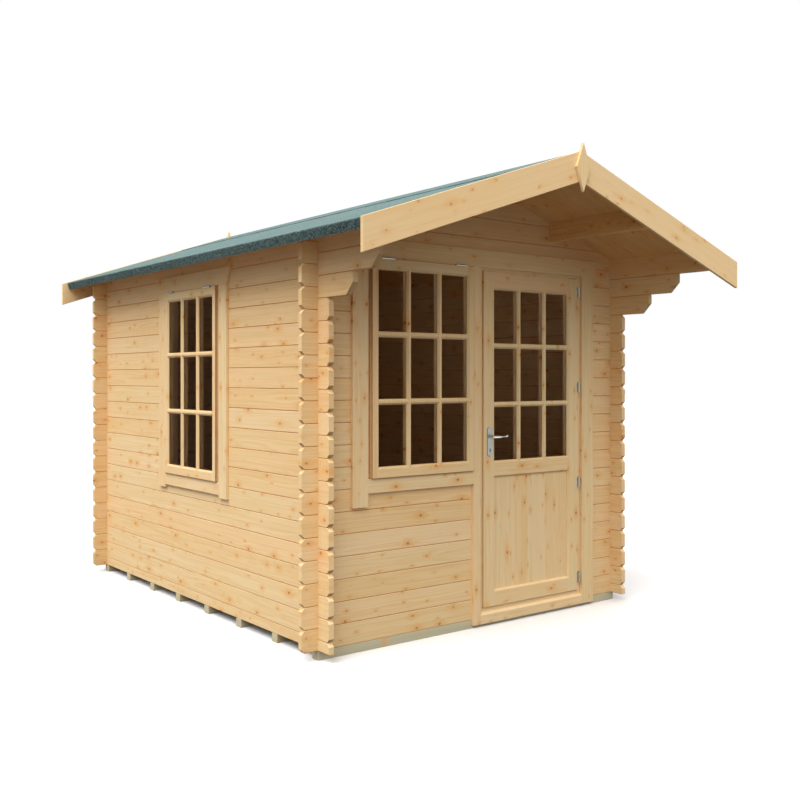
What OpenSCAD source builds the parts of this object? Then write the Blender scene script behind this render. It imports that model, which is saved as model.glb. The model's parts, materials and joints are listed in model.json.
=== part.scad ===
// Garden log cabin: interlocking log walls on bearers, a low pitched felt roof with a
// deep front overhang on stepped corbel logs, a glazed door and two top-hung windows.
// Millimetres, +Z up, front towards -Y, origin on the ground below the middle of the roof.

/* [Walls] */
// Log wall from the left wall's outer face to the window frame
left_part = 275; // [200:1:600]
// Log wall from the door's hinge jamb to the right wall's outer face
right_part = 289; // [220:1:600]
// Depth over the outer faces of the front and back walls
house_d = 2875; // [2500:1:3600]
// Height that one log covers
log_pitch = 114; // [95:1:140]
// Thickness of a log
log_t = 30; // [26:1:36]
// Length of a log's end beyond the wall that it crosses
corner_out = 97; // [60:1:130]
// Chamfer above and below a log's end
end_chamfer = 20; // [4:1:24]
// Chamfer along the edges of a log's face
face_chamfer = 3; // [1:0.5:5]
// Width of a log's tongue
tongue_w = 10; // [6:0.5:12]
// Height of a log's tongue
tongue_h = 8; // [4:0.5:12]
// Play around a tongue in its groove
tongue_play = 0.6; // [0.4:0.1:1]
// Joint between two logs
log_gap = 0.4; // [0.2:0.1:0.8]
// Play beside a log in the notch of the log that it crosses
notch_play = 0.3; // [0.2:0.1:0.8]

/* [Corbels] */
// Reach of the lowest corbel log in front of the front wall
corbel_low_out = 304; // [200:1:400]
// Reach of the middle corbel log in front of the front wall
corbel_mid_out = 512; // [420:1:640]
// Slanting cut under a corbel's end
corbel_cut = 60; // [30:1:80]

/* [Floor] */
// Width of a bearer
bearer_w = 57; // [40:1:80]
// Height of a bearer
bearer_h = 48; // [40:1:70]
// Number of bearers
bearer_count = 8; // [5:1:10]
// Thickness of the floor boards
floor_t = 19; // [15:1:28]
// Width of a floor board
floor_board_w = 108; // [80:1:140]
// Joint between two boards
board_gap = 0.6; // [0.4:0.1:0.9]

/* [Roof] */
// Slope of the roof in degrees
roof_pitch = 18.9; // [16:0.1:22]
// Front of the barge boards in front of the front wall
over_front = 737; // [680:1:900]
// Back of the barge boards behind the back wall
over_back = 210; // [150:1:320]
// Felt edge at the eaves, beyond the side wall's outer face
eave_out = 217; // [150:1:350]
// Thickness of the roof boards
roof_board_t = 27; // [15:1:32]
// Width of a roof board
roof_board_w = 96; // [80:1:130]
// Thickness of the felt
felt_t = 3; // [2:0.5:4]
// Width of the ridge sheet on each slope
ridge_sheet = 450; // [300:1:550]
// Height of the batten under the edge of the roof boards
eave_batten_h = 20; // [15:1:45]
// Width of the batten under the edge of the roof boards
eave_batten_w = 28; // [20:1:40]
// Width of a purlin
purlin_w = 40; // [30:1:60]
// Height of a purlin at its deeper side
purlin_h = 120; // [90:1:140]
// Upper face of a side purlin, from the middle of the roof
purlin_x = 538; // [400:1:650]

/* [Barge boards] */
// Width of a barge board
barge_w = 147; // [120:1:180]
// Thickness of a barge board
barge_t = 18; // [14:1:25]
// Rise of a barge board above the felt
barge_rise = 1; // [0:1:20]
// Length of a barge board beyond the felt edge
barge_over = 33; // [15:1:60]
// Width of the diamond finial
finial_w = 100; // [70:1:130]
// Height of the diamond finial
finial_h = 254; // [200:1:300]
// Thickness of the diamond finial
finial_t = 16; // [12:1:22]
// Tip of the finial above the top of the barge boards
finial_rise = 41; // [20:1:60]

/* [Windows] */
// Width of a window sash
sash_w = 703; // [560:1:900]
// Height of a window sash
sash_h = 1146; // [900:1:1400]
// Thickness of a window sash
sash_t = 40; // [36:1:50]
// Front of a sash in front of the wall
sash_out = 30; // [22:1:34]
// Width of a sash's upright members
sash_stile = 44; // [38:1:60]
// Height of a sash's top and bottom members
sash_rail = 56; // [44:1:70]
// Play between a sash and its frame at the sides and below
sash_gap = 2; // [1.5:0.5:4]
// Play above a sash, where the hinges lie
sash_top_gap = 4; // [3:0.5:6]
// Width of a window frame's members
frame_w = 40; // [34:1:50]
// Depth of the window and door frames
frame_d = 62; // [58:1:80]
// Width of the post between the front window and the door
post_w = 83; // [70:1:140]
// Middle of the side sash, behind the middle of the side wall
side_sash_y = -19; // [-200:1:200]
// Side sash below the level of the front sash
side_sash_drop = 86; // [0:1:160]
// Width of the glazing bars
bar_w = 30; // [24:1:38]
// Bevel of the glazing bars and of the members round glass and panel
bar_bevel = 10; // [4:0.5:10]
// Glass behind the front of a sash or door leaf
glass_back = 14; // [10:1:16]
// Thickness of the glass
glass_t = 4; // [3:0.5:6]
// Depth of the groove that holds the glass or the door panel
glass_edge = 9; // [6:1:12]
// Length of a window hinge
sash_hinge_len = 84; // [60:1:110]
// Window hinges from the inner edges of the stiles
sash_hinge_inset = 10; // [0:1:60]
// Diameter of a window hinge's knuckle
sash_hinge_d = 10; // [8:1:14]

/* [Casings] */
// Thickness of the casing boards
casing_t = 18; // [14:1:22]
// Width of the casing boards beside the windows
casing_w = 98; // [80:1:120]
// Width of the casing boards over the windows and door
head_casing_w = 100; // [85:1:104]
// Outward slant of a head casing's ends
head_flare = 42; // [20:1:60]
// Frame that shows between a sash and its casing
casing_reveal = 20; // [16:1:26]
// Width of the board below a window
sill_board_w = 76; // [60:1:95]
// Length of the front window's casing below its sill board
front_casing_drop = 70; // [30:1:100]
// Length of the side window's casings below their sill board
side_casing_drop = 18; // [8:1:60]
// Casing at the door's foot, above and below the bottom of the walls
foot_casing = 31; // [20:1:40]
// Bevel along the top of the casing at the door's foot
foot_bevel = 11; // [4:1:14]
// Width of the casing beside the door's hinges
hinge_casing_w = 104; // [80:1:120]
// Post that shows between the front sash and the casing on the post
post_reveal = 10; // [6:1:14]
// Frame that shows beside the door, outside the play of the leaf
door_reveal = 24; // [16:1:30]
// Frame that shows over the door, outside the play of the leaf
head_reveal = 15; // [8:1:24]

/* [Door] */
// Width of the door leaf
leaf_w = 786; // [640:1:1000]
// Height of the door leaf
leaf_h = 1918; // [1750:1:2200]
// Bottom of the door leaf above the bottom of the walls
leaf_z = 59; // [50:1:64]
// Thickness of the door leaf
leaf_t = 40; // [36:1:44]
// Front of the door leaf in front of the wall
leaf_out = 10; // [6:1:14]
// Play around the leaf at its hinges, head and foot
leaf_gap = 5; // [5:0.5:6]
// Play beside the leaf at its lock
lock_gap = 7; // [6.5:0.5:8]
// Width of the leaf's upright members
leaf_stile = 89; // [80:1:105]
// Height of the leaf's top rail
top_rail = 100; // [85:1:120]
// Height of the leaf's lock rail
lock_rail = 95; // [80:1:110]
// Height of the leaf's bottom rail
bottom_rail = 92; // [80:1:120]
// Height of the opening for the lower panel
panel_h = 645; // [560:1:700]
// Thickness of the lower panel
panel_t = 14; // [8:1:18]
// Width of the jamb on the hinge side
jamb_w = 50; // [40:1:60]
// Reach of the door stops behind the leaf's edges
stop_reach = 10; // [6:1:14]

/* [Door hardware] */
// Number of door hinges
hinge_count = 4; // [3:1:5]
// Length of a door hinge
hinge_len = 66; // [50:1:80]
// Diameter of a hinge knuckle
hinge_d = 14; // [12:0.5:16]
// Diameter of a hinge pin
hinge_pin_d = 7; // [6:0.5:8]
// Running play of the hinge pin and of the lever's spindle
pin_play = 0.3; // [0.2:0.1:0.6]
// Closed top of a hinge's upper half
hinge_cap = 4; // [3:0.5:8]
// Play above a hinge pin in its bore
pin_end_play = 2; // [1:0.5:4]
// Diameter of a hinge half's screw shank
shank_d = 8; // [6:0.5:9]
// Length of a hinge half's screw shank
shank_len = 36; // [28:1:44]
// Lean of a screw shank away from the joint beside the leaf, in degrees
shank_lean = 28; // [22:1:34]
// Middle of the end hinges from the ends of the leaf
hinge_inset = 80; // [60:1:140]
// Height of the lever's spindle above the bottom of the leaf
lever_z = 973; // [950:1:1000]
// Width of a handle plate
plate_w = 38; // [30:1:46]
// Height of a handle plate
plate_h = 169; // [140:1:200]
// Thickness of a handle plate
plate_t = 5; // [3:0.5:8]
// Top of a handle plate above the spindle
plate_above = 56; // [40:1:70]
// Length of the lever from its spindle
lever_len = 110; // [90:1:130]
// Thickness of the lever
lever_d = 14; // [11:1:18]
// Distance of the lever's middle from its plate
lever_off = 40; // [32:1:50]
// Radius of the lever's upturned tip
tip_bend = 20; // [12:1:30]
// Angle of the lever's upturned tip in degrees
tip_turn = 60; // [30:5:80]
// Diameter of the lever's neck
neck_d = 18; // [15:1:22]
// Diameter of the spindle through the leaf
spindle_d = 10; // [8:1:12]
// Width of the keyhole
keyhole_w = 6; // [4:0.5:8]
// Diameter of the keyhole's round top
keyhole_d = 9; // [8:0.5:11]
// Height of the keyhole's slot
keyhole_h = 18; // [12:1:22]
// Keyhole below the spindle
keyhole_drop = 72; // [60:1:85]

/* [Hidden] */
$fn = 48;

// Colours of the finished pieces
pine = "#d9b885";
pine_lit = "#e6c796";
pine_shade = "#b99566";
treated = "#b4b096";
felt_green = "#7fa09d";
glass_dark = "#4a3a30";
steel = "#b8bcc0";

// Clearance between pieces that lie against each other
seat = 0.2;
// Distance that a cutting shape runs past the face it cuts
past = 5;
// The same for a bevel, which gets wider as it runs on
bevel_past = 1;

// Front wall from left to right: logs, window, post, door, logs
window_part = frame_w + sash_w + 2 * sash_gap;
door_part = post_w + lock_gap + leaf_w + leaf_gap + jamb_w;
house_w = left_part + window_part + door_part + right_part;
half_w = house_w / 2;
window_frame_left = -half_w + left_part;
front_sash_x = window_frame_left + frame_w + sash_gap;
front_sash_right = front_sash_x + sash_w;
post_left = front_sash_right + sash_gap;
post_right = post_left + post_w;
leaf_x = post_right + lock_gap;
leaf_right = leaf_x + leaf_w;
jamb_left = leaf_right + leaf_gap;
jamb_right = jamb_left + jamb_w;

// Heights above the bottom of the walls: the door sets the heads, and whole logs close over them
leaf_top = leaf_z + leaf_h;
head_casing_z = leaf_top + leaf_gap + head_reveal;
front_sash_top = head_casing_z - sash_top_gap;
front_sash_z = front_sash_top - sash_h;
side_sash_z = front_sash_z - side_sash_drop;
logs_high = ceil((head_casing_z + frame_w) / log_pitch);
opening_top = logs_high * log_pitch;
window_log = floor((front_sash_z - sash_gap - frame_w / 2) / log_pitch);
window_frame_bottom = window_log * log_pitch;

// Casings of the front wall
front_casing_left = front_sash_x - casing_reveal - casing_w;
post_casing_x = front_sash_right + post_reveal;
post_casing_right = post_right - door_reveal;
hinge_casing_x = jamb_left + door_reveal;
hinge_casing_right = hinge_casing_x + hinge_casing_w;

// Levels and places of the walls
wall_z = bearer_h;
wall_top = wall_z + (logs_high + 0.5) * log_pitch;
roof_len = over_front + house_d + over_back;
y_eaves_front = -roof_len / 2;
y_eaves_back = roof_len / 2;
y_front = y_eaves_front + over_front;
y_back = y_front + house_d;
side_mid = half_w - log_t / 2;
front_mid = y_front + log_t / 2;
back_mid = y_back - log_t / 2;

// Notches of crossing logs
notch_half = log_t / 2 + notch_play;
notch_deep = log_pitch / 4 + log_gap / 2;
tongue_room = max(tongue_h, log_t * tan(roof_pitch)) + past;

// Roof section: the underside passes through the top outer edge of the side walls
ridge_z = wall_top + half_w * tan(roof_pitch);
eave_x = half_w + eave_out;
eave_s = (eave_x - (roof_board_t + felt_t) * sin(roof_pitch)) / cos(roof_pitch) - felt_t - seat;
felt_n = roof_board_t + seat;
lap_n = felt_n + felt_t + seat;
barge_n = lap_n + felt_t + barge_rise;
barge_end = eave_x + barge_over;
barge_top = ridge_z + barge_n / cos(roof_pitch);
y_roof_front = y_eaves_front + barge_t + seat;
y_roof_back = y_eaves_back - barge_t - seat;

// Side window, placed as on a front wall and then turned on to the left wall
side_mid_y = (y_front + y_back) / 2 + side_sash_y;
side_hole_half = sash_w / 2 + sash_gap + frame_w;
side_hole_low = side_sash_z - sash_gap - frame_w;
side_hole_high = side_sash_z + sash_h + sash_top_gap + frame_w;

// Door leaf openings
glass_low = leaf_z + bottom_rail + panel_h + lock_rail;
glass_high = leaf_top - top_rail;
panel_low = leaf_z + bottom_rail;
leaf_front = y_front - leaf_out;
leaf_back = leaf_front + leaf_t;
spindle_x = leaf_x + leaf_stile / 2;
spindle_z = wall_z + leaf_z + lever_z;
hinge_x = leaf_right + leaf_gap / 2;
hinge_y = leaf_front - hinge_d / 2 - seat;
hinge_pitch = (leaf_h - 2 * hinge_inset) / (hinge_count - 1);
hinge_levels = [for (i = [0 : hinge_count - 1]) wall_z + leaf_z + hinge_inset + i * hinge_pitch];
hinge_half = hinge_len / 2;
hinge_bore = hinge_half - hinge_cap;

// Shared shapes

function flip(list) = [for (i = [len(list) - 1 : -1 : 0]) list[i]];

// Roof underside above a point x, and the half width of the roof space at a height z
function roof_under(x) = ridge_z - abs(x) * tan(roof_pitch);
function roof_half(z) = (ridge_z - z) / tan(roof_pitch);

// Point at a distance s down the right slope and n square above the boards' underside
function slope_point(s, n) = [s * cos(roof_pitch) + n * sin(roof_pitch),
                              ridge_z - s * sin(roof_pitch) + n * cos(roof_pitch)];
// Distance down the slope at which the level n meets the plumb line at x
function plumb_s(x, n) = (x - n * sin(roof_pitch)) / cos(roof_pitch);

// A drawing in x and z, carried from y0 to y1
module along_y(y0, y1) {
    translate([0, y1, 0])
        rotate([90, 0, 0])
            linear_extrude(y1 - y0) children();
}

module block(x0, x1, y0, y1, z0, z1) {
    translate([x0, y0, z0]) cube([x1 - x0, y1 - y0, z1 - z0]);
}

// Section of a log: chamfered faces, a groove below and a tongue above
function log_section(h, groove, cap) =
    let (a = log_t / 2, g = log_gap / 2, c = face_chamfer, w = tongue_w / 2)
    concat(
        [[-a, g + c], [-a + c, g]],
        groove ? groove_points(g, w + tongue_play) : [],
        [[a - c, g], [a, g + c]],
        cap == "bevel" ? bevel_points(h, a) : top_points(h, a, g, c, w, cap == "tongue")
    );
function groove_points(g, w) =
    [[-w, g], [-w, tongue_h + tongue_play], [w, tongue_h + tongue_play], [w, g]];
function bevel_points(h, a) = [[a, h - seat], [-a, h - seat + log_t * tan(roof_pitch)]];
function top_points(h, a, g, c, w, tongue) = concat(
    [[a, h - g - c], [a - c, h - g]],
    tongue ? [[w, h - g], [w, h - g + tongue_h], [-w, h - g + tongue_h], [-w, h - g]] : [],
    [[-a + c, h - g], [-a, h - g - c]]
);

// Side view of a log: its end cuts, and notches where other walls cross it
function low_end(x, s, cut) = cut > 0 ? [[x, cut], [x + s * cut, 0]] : [[x, 0]];
function high_end(x, s, cut, h) =
    cut > 0 ? [[x, h - cut], [x + s * (cut + tongue_room), h + tongue_room]] : [[x, h + tongue_room]];
function low_notch(c) = [[c - notch_half, 0], [c - notch_half, notch_deep],
                         [c + notch_half, notch_deep], [c + notch_half, 0]];
function high_notch(c, h) = [[c + notch_half, h + tongue_room], [c + notch_half, h - notch_deep],
                             [c - notch_half, h - notch_deep], [c - notch_half, h + tongue_room]];
function log_outline(a, b, h, crossings, end_a, end_b, low) = concat(
    low_end(a, 1, end_a[0]),
    low ? [for (c = crossings) each low_notch(c)] : [],
    flip(low_end(b, -1, end_b[0])),
    high_end(b, -1, end_b[1], h),
    [for (c = flip(crossings)) each high_notch(c, h)],
    flip(high_end(a, 1, end_a[1], h))
);

// A drawing in x and z, cut from a log section that runs from a to b
module log_cut(a, b, section) {
    intersection() {
        translate([a, 0, 0]) rotate([90, 0, 90]) linear_extrude(b - a) polygon(section);
        along_y(-log_t, log_t) children();
    }
}

// Log along X from a to b, with its middle on y = 0 and its foot on z = 0
module log(a, b, h, crossings, end_a, end_b, groove = true, cap = "tongue") {
    log_cut(a, b, log_section(h, groove, cap))
        polygon(log_outline(a, b, h, crossings, end_a, end_b, groove));
}

corner_end = [end_chamfer, end_chamfer];
plain_end = [0, 0];

// Course k of a wall that runs along X, in its place
module cross_log(k, y, a, b, end_a, end_b) {
    crossings = [for (c = [-side_mid, side_mid]) if (c > a && c < b) c];
    translate([0, y, wall_z + k * log_pitch])
        log(a, b, log_pitch, crossings, end_a, end_b);
}

// Course k of the left wall: a half log at the foot, and corbels at the top
module side_log(k) {
    z = k == 0 ? 0 : (k - 0.5) * log_pitch;
    h = k == 0 ? log_pitch / 2 : log_pitch;
    corbel = k - (logs_high - 2);
    reach = corbel < 0 ? corner_out : [corbel_low_out, corbel_mid_out, y_front - y_roof_front][corbel];
    front_end = corbel < 0 ? (k == 0 ? [0, end_chamfer] : corner_end)
                           : (corbel < 2 ? [corbel_cut, 0] : plain_end);
    back_end = k == 0 ? [0, end_chamfer] : corner_end;
    translate([-side_mid, 0, wall_z + z])
        rotate([0, 0, 90])
            log(y_front - reach, y_back + corner_out, h, [front_mid, back_mid], front_end, back_end,
                groove = k > 0, cap = k == logs_high ? "bevel" : "tongue");
}

// Outline of gable course k under the roof, with the lowest course notched over the side walls
function gable_outline(k) =
    let (z = wall_z + k * log_pitch, top = z + log_pitch + tongue_room,
         end = half_w + corner_out, foot = min(end, roof_half(z + seat)),
         notched = foot > side_mid)
    concat(
        notched ? low_end(-foot, 1, end_chamfer) : [[-foot, 0]],
        notched ? [for (c = [-side_mid, side_mid]) each low_notch(c)] : [],
        notched ? flip(low_end(foot, -1, end_chamfer)) : [[foot, 0]],
        notched ? [[foot, roof_under(foot) - seat - z]] : [],
        top < ridge_z - seat
            ? [[roof_half(top + seat), top - z], [-roof_half(top + seat), top - z]]
            : [[0, ridge_z - seat - z]],
        notched ? [[-foot, roof_under(foot) - seat - z]] : []
    );

// Side purlin section, with play around it where it cuts the gable
function purlin_points(x, play) =
    let (x1 = x + purlin_w, foot = roof_under(x) - purlin_h - play, lift = 2 * play - seat)
    [[x - play, foot], [x1 + play, foot], [x1 + play, roof_under(x1) + lift], [x - play, roof_under(x) + lift]];
// Ridge purlin section, with play in the same way
function ridge_points(play) =
    let (x1 = purlin_w / 2, foot = ridge_z - purlin_h - play, lift = 2 * play - seat)
    [[-x1 - play, foot], [x1 + play, foot], [x1 + play, roof_under(x1) + lift],
     [0, ridge_z + lift], [-x1 - play, roof_under(x1) + lift]];

module purlin_cuts() {
    polygon(ridge_points(notch_play));
    polygon(purlin_points(purlin_x, notch_play));
    mirror([1, 0]) polygon(purlin_points(purlin_x, notch_play));
}

gable_courses = ceil((ridge_z - wall_z) / log_pitch) - logs_high;

// The courses over a wall's square part, cut to the roof and round the purlins
module gable(y) {
    for (i = [0 : gable_courses - 1]) {
        k = logs_high + i;
        z = wall_z + k * log_pitch;
        reach = half_w + corner_out;
        translate([0, y, z])
            log_cut(-reach, reach, log_section(log_pitch, true, "tongue"))
                difference() {
                    polygon(gable_outline(k));
                    translate([0, -z]) purlin_cuts();
                }
    }
}

// Floor

module floor_bearers() {
    first = y_front + bearer_w / 2;
    step = (house_d - bearer_w) / (bearer_count - 1);
    color(treated)
        for (i = [0 : bearer_count - 1])
            block(-half_w, half_w, first + i * step - bearer_w / 2, first + i * step + bearer_w / 2,
                  0, bearer_h - seat);
}

module floor_boards() {
    room_w = house_w - 2 * log_t - 2 * board_gap;
    count = round(room_w / floor_board_w);
    step = room_w / count;
    color(pine)
        difference() {
            for (i = [0 : count - 1]) {
                x = -room_w / 2 + i * step;
                block(x + board_gap / 2, x + step - board_gap / 2,
                      y_front + log_t + board_gap, y_back - log_t - board_gap, wall_z, wall_z + floor_t);
            }
            block(post_left - board_gap, jamb_right + board_gap, y_front - past, y_front + frame_d + board_gap,
                  wall_z - past, wall_z + floor_t + past);
        }
}

// Walls

// Course k from the left corner to the window frame, or below that to the door post
module front_left_log(k) {
    inner = k < window_log ? post_left : window_frame_left;
    cross_log(k, front_mid, -half_w - corner_out, inner - seat, corner_end, plain_end);
}

// The course under the window has no tongue where the frame stands on it
module front_wall_left_logs() {
    rest_z = wall_z + window_frame_bottom;
    color(pine) {
        for (k = [0 : logs_high - 1])
            if (k != window_log - 1) front_left_log(k);
        difference() {
            front_left_log(window_log - 1);
            block(window_frame_left - seat, post_left + past, y_front - past, y_front + log_t + past,
                  rest_z, rest_z + tongue_room);
        }
    }
}

module front_wall_right_logs() {
    color(pine)
        for (k = [0 : logs_high - 1])
            cross_log(k, front_mid, jamb_right + seat, half_w + corner_out, plain_end, corner_end);
}

module front_gable_logs() {
    color(pine_shade) gable(front_mid);
}

module back_gable_logs() {
    color(pine) gable(back_mid);
}

module back_wall_logs() {
    reach = half_w + corner_out;
    color(pine)
        for (k = [0 : logs_high - 1])
            cross_log(k, back_mid, -reach, reach, corner_end, corner_end);
}

module side_hole() {
    block(-half_w - past, -half_w + log_t + past,
          side_mid_y - side_hole_half - seat, side_mid_y + side_hole_half + seat,
          wall_z + side_hole_low - seat, wall_z + side_hole_high + seat);
}

module left_wall_logs() {
    color(pine_lit)
        for (k = [0 : logs_high]) {
            low = (k - 0.5) * log_pitch;
            if (low + log_pitch + tongue_h > side_hole_low && low < side_hole_high)
                difference() {
                    side_log(k);
                    side_hole();
                }
            else
                side_log(k);
        }
}

module right_wall_logs() {
    color(pine)
        mirror([1, 0, 0])
            for (k = [0 : logs_high]) side_log(k);
}

// Roof

module ridge_purlin() {
    color(pine_shade) along_y(y_roof_front, y_roof_back) polygon(ridge_points(0));
}

module side_purlins() {
    color(pine_shade) {
        along_y(y_roof_front, y_roof_back) polygon(purlin_points(purlin_x, 0));
        mirror([1, 0, 0]) along_y(y_roof_front, y_roof_back) polygon(purlin_points(purlin_x, 0));
    }
}

// Boards of the right slope, from the ridge to the eaves, side by side along the roof
module slope_boards() {
    span = y_roof_back - y_roof_front;
    count = round(span / roof_board_w);
    step = span / count;
    for (i = [0 : count - 1])
        along_y(y_roof_front + i * step + (i > 0 ? board_gap : 0), y_roof_front + (i + 1) * step)
            polygon([slope_point(plumb_s(seat, 0), 0), slope_point(eave_s, 0),
                     slope_point(eave_s, roof_board_t),
                     slope_point(plumb_s(seat, roof_board_t), roof_board_t)]);
}

module roof_boards_right() {
    color(pine_shade) slope_boards();
}

module roof_boards_left() {
    color(pine_shade) mirror([1, 0, 0]) slope_boards();
}

module eave_batten() {
    along_y(y_roof_front, y_roof_back)
        polygon([slope_point(eave_s - eave_batten_w, -eave_batten_h), slope_point(eave_s, -eave_batten_h),
                 slope_point(eave_s, -seat), slope_point(eave_s - eave_batten_w, -seat)]);
}

module eave_battens() {
    color(pine_shade) {
        eave_batten();
        mirror([1, 0, 0]) eave_batten();
    }
}

// Felt of the right slope: one sheet from the ridge, folded over the eaves
module slope_felt() {
    inner = eave_s + seat;
    outer = inner + felt_t;
    top_n = felt_n + felt_t;
    along_y(y_roof_front, y_roof_back)
        polygon([slope_point(plumb_s(seat, felt_n), felt_n), slope_point(inner, felt_n),
                 slope_point(inner, -eave_batten_h), slope_point(outer, -eave_batten_h),
                 slope_point(outer, top_n), slope_point(plumb_s(seat, top_n), top_n)]);
}

module roof_felt_right() {
    color(felt_green) slope_felt();
}

module roof_felt_left() {
    color(felt_green) mirror([1, 0, 0]) slope_felt();
}

module ridge_felt() {
    low = slope_point(ridge_sheet, lap_n);
    high = slope_point(ridge_sheet, lap_n + felt_t);
    low_peak = slope_point(plumb_s(0, lap_n), lap_n);
    high_peak = slope_point(plumb_s(0, lap_n + felt_t), lap_n + felt_t);
    color(felt_green)
        along_y(y_roof_front, y_roof_back)
            polygon([low_peak, low, high, high_peak, [-high[0], high[1]], [-low[0], low[1]]]);
}

// Right barge board: plumb cuts at the peak and at the eaves
module barge() {
    low_n = barge_n - barge_w;
    polygon([slope_point(plumb_s(seat, low_n), low_n), slope_point(plumb_s(barge_end, low_n), low_n),
             slope_point(plumb_s(barge_end, barge_n), barge_n), slope_point(plumb_s(seat, barge_n), barge_n)]);
}

module barge_front_left() {
    color(pine) mirror([1, 0, 0]) along_y(y_eaves_front, y_eaves_front + barge_t) barge();
}

module barge_front_right() {
    color(pine) along_y(y_eaves_front, y_eaves_front + barge_t) barge();
}

module barge_back_left() {
    color(pine) mirror([1, 0, 0]) along_y(y_eaves_back - barge_t, y_eaves_back) barge();
}

module barge_back_right() {
    color(pine) along_y(y_eaves_back - barge_t, y_eaves_back) barge();
}

module finial() {
    tip = barge_top + finial_rise;
    mid = tip - finial_h / 2;
    polygon([[0, tip - finial_h], [finial_w / 2, mid], [0, tip], [-finial_w / 2, mid]]);
}

module finial_front() {
    color(pine_lit) along_y(y_eaves_front - seat - finial_t, y_eaves_front - seat) finial();
}

module finial_back() {
    color(pine_lit) along_y(y_eaves_back + seat, y_eaves_back + seat + finial_t) finial();
}

// Windows, drawn for a wall along X whose outer face is y = 0, with the outside towards -Y

// Glazing bars of three panes by three in an opening, between y0 and y1
module glazing_bars(x0, x1, z0, z1, y0, y1) {
    pane_w = (x1 - x0 - 2 * bar_w) / 3;
    pane_h = (z1 - z0 - 2 * bar_w) / 3;
    along_y(y0, y1)
        for (i = [1 : 2]) {
            translate([x0 + i * pane_w + (i - 1) * bar_w, z0 + seat]) square([bar_w, z1 - z0 - 2 * seat]);
            translate([x0 + seat, z0 + i * pane_h + (i - 1) * bar_w]) square([x1 - x0 - 2 * seat, bar_w]);
        }
}

// Bevels round the panes of an opening, count by count, cut into a front face y = front
module pane_bevels(x0, x1, z0, z1, front, count) {
    pane_w = (x1 - x0 - (count - 1) * bar_w) / count;
    pane_h = (z1 - z0 - (count - 1) * bar_w) / count;
    near = front - bevel_past;
    far = front + bar_bevel + bevel_past;
    grow = bar_bevel + bevel_past;
    intersection() {
        translate([0, 0, z0 - grow])
            linear_extrude(z1 - z0 + 2 * grow)
                for (i = [0 : count - 1])
                    translate([x0 + i * (pane_w + bar_w), 0])
                        polygon([[-grow, near], [pane_w + grow, near],
                                 [pane_w - bevel_past, far], [bevel_past, far]]);
        translate([x0 - grow, 0, 0])
            rotate([90, 0, 90])
                linear_extrude(x1 - x0 + 2 * grow)
                    for (i = [0 : count - 1])
                        translate([0, z0 + i * (pane_h + bar_w)])
                            polygon([[near, -grow], [far, bevel_past],
                                     [far, pane_h - bevel_past], [near, pane_h + grow]]);
    }
}

// Groove for a sheet of thickness t behind a front face y0, round an opening
module sheet(x0, x1, z0, z1, y0, t, edge, play) {
    block(x0 - edge - play, x1 + edge + play, y0 - play, y0 + t + play, z0 - edge - play, z1 + edge + play);
}

// Sash from x0 and z0: two stiles, two rails, and bars before and behind the glass
module sash(x0, z0) {
    front = -sash_out;
    back = front + sash_t;
    x1 = x0 + sash_w;
    z1 = z0 + sash_h;
    in_x0 = x0 + sash_stile;
    in_x1 = x1 - sash_stile;
    in_z0 = z0 + sash_rail;
    in_z1 = z1 - sash_rail;
    glass_y = front + glass_back;
    difference() {
        union() {
            block(x0, in_x0, front, back, z0, z1);
            block(in_x1, x1, front, back, z0, z1);
            block(in_x0 + seat, in_x1 - seat, front, back, z0, in_z0);
            block(in_x0 + seat, in_x1 - seat, front, back, in_z1, z1);
        }
        sheet(in_x0, in_x1, in_z0, in_z1, glass_y, glass_t, glass_edge, seat);
        pane_bevels(in_x0, in_x1, in_z0, in_z1, front, 3);
    }
    difference() {
        glazing_bars(in_x0, in_x1, in_z0, in_z1, front + seat, glass_y - seat);
        pane_bevels(in_x0, in_x1, in_z0, in_z1, front, 3);
    }
    glazing_bars(in_x0, in_x1, in_z0, in_z1, glass_y + glass_t + seat, back - seat);
}

module sash_glass(x0, z0) {
    sheet(x0 + sash_stile, x0 + sash_w - sash_stile, z0 + sash_rail, z0 + sash_h - sash_rail,
          glass_back - sash_out, glass_t, glass_edge, 0);
}

// Two butt hinges between a sash's top edge and the frame's head, with their knuckles outside
module sash_hinges(x0, z1) {
    leaf = (sash_top_gap - 4 * seat) / 2;
    from_end = sash_stile + sash_hinge_inset;
    y = -sash_out - sash_hinge_d / 2;
    back = sash_t - sash_out - seat;
    for (x = [x0 + from_end, x0 + sash_w - from_end - sash_hinge_len]) {
        translate([x, y, z1 + sash_top_gap / 2])
            rotate([0, 90, 0]) cylinder(d = sash_hinge_d, h = sash_hinge_len);
        block(x, x + sash_hinge_len, y, back, z1 + seat, z1 + seat + leaf);
        block(x, x + sash_hinge_len, y, back, z1 + sash_top_gap - seat - leaf, z1 + sash_top_gap - seat);
    }
}

// Casing over an opening, with its ends slanting outwards
module head_casing(x0, x1, z0) {
    z1 = z0 + head_casing_w;
    along_y(-casing_t - seat, -seat)
        polygon([[x0, z0], [x1, z0], [x1 + head_flare, z1], [x0 - head_flare, z1]]);
}

module casing_board(x0, x1, z0, z1) {
    block(x0, x1, -casing_t - seat, -seat, z0, z1);
}

// Casing at the door's foot, with its top edge bevelled
module foot_board(x0, x1) {
    front = -casing_t - seat;
    translate([x0, 0, 0])
        rotate([90, 0, 90])
            linear_extrude(x1 - x0)
                polygon([[front, -foot_casing], [-seat, -foot_casing], [-seat, foot_casing],
                         [front + foot_bevel, foot_casing], [front, foot_casing - foot_bevel]]);
}

module on_front() {
    translate([0, y_front, wall_z]) children();
}

module on_left() {
    translate([-half_w, side_mid_y, wall_z]) rotate([0, 0, -90]) children();
}

// Front window: its frame meets the door post on the right

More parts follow.
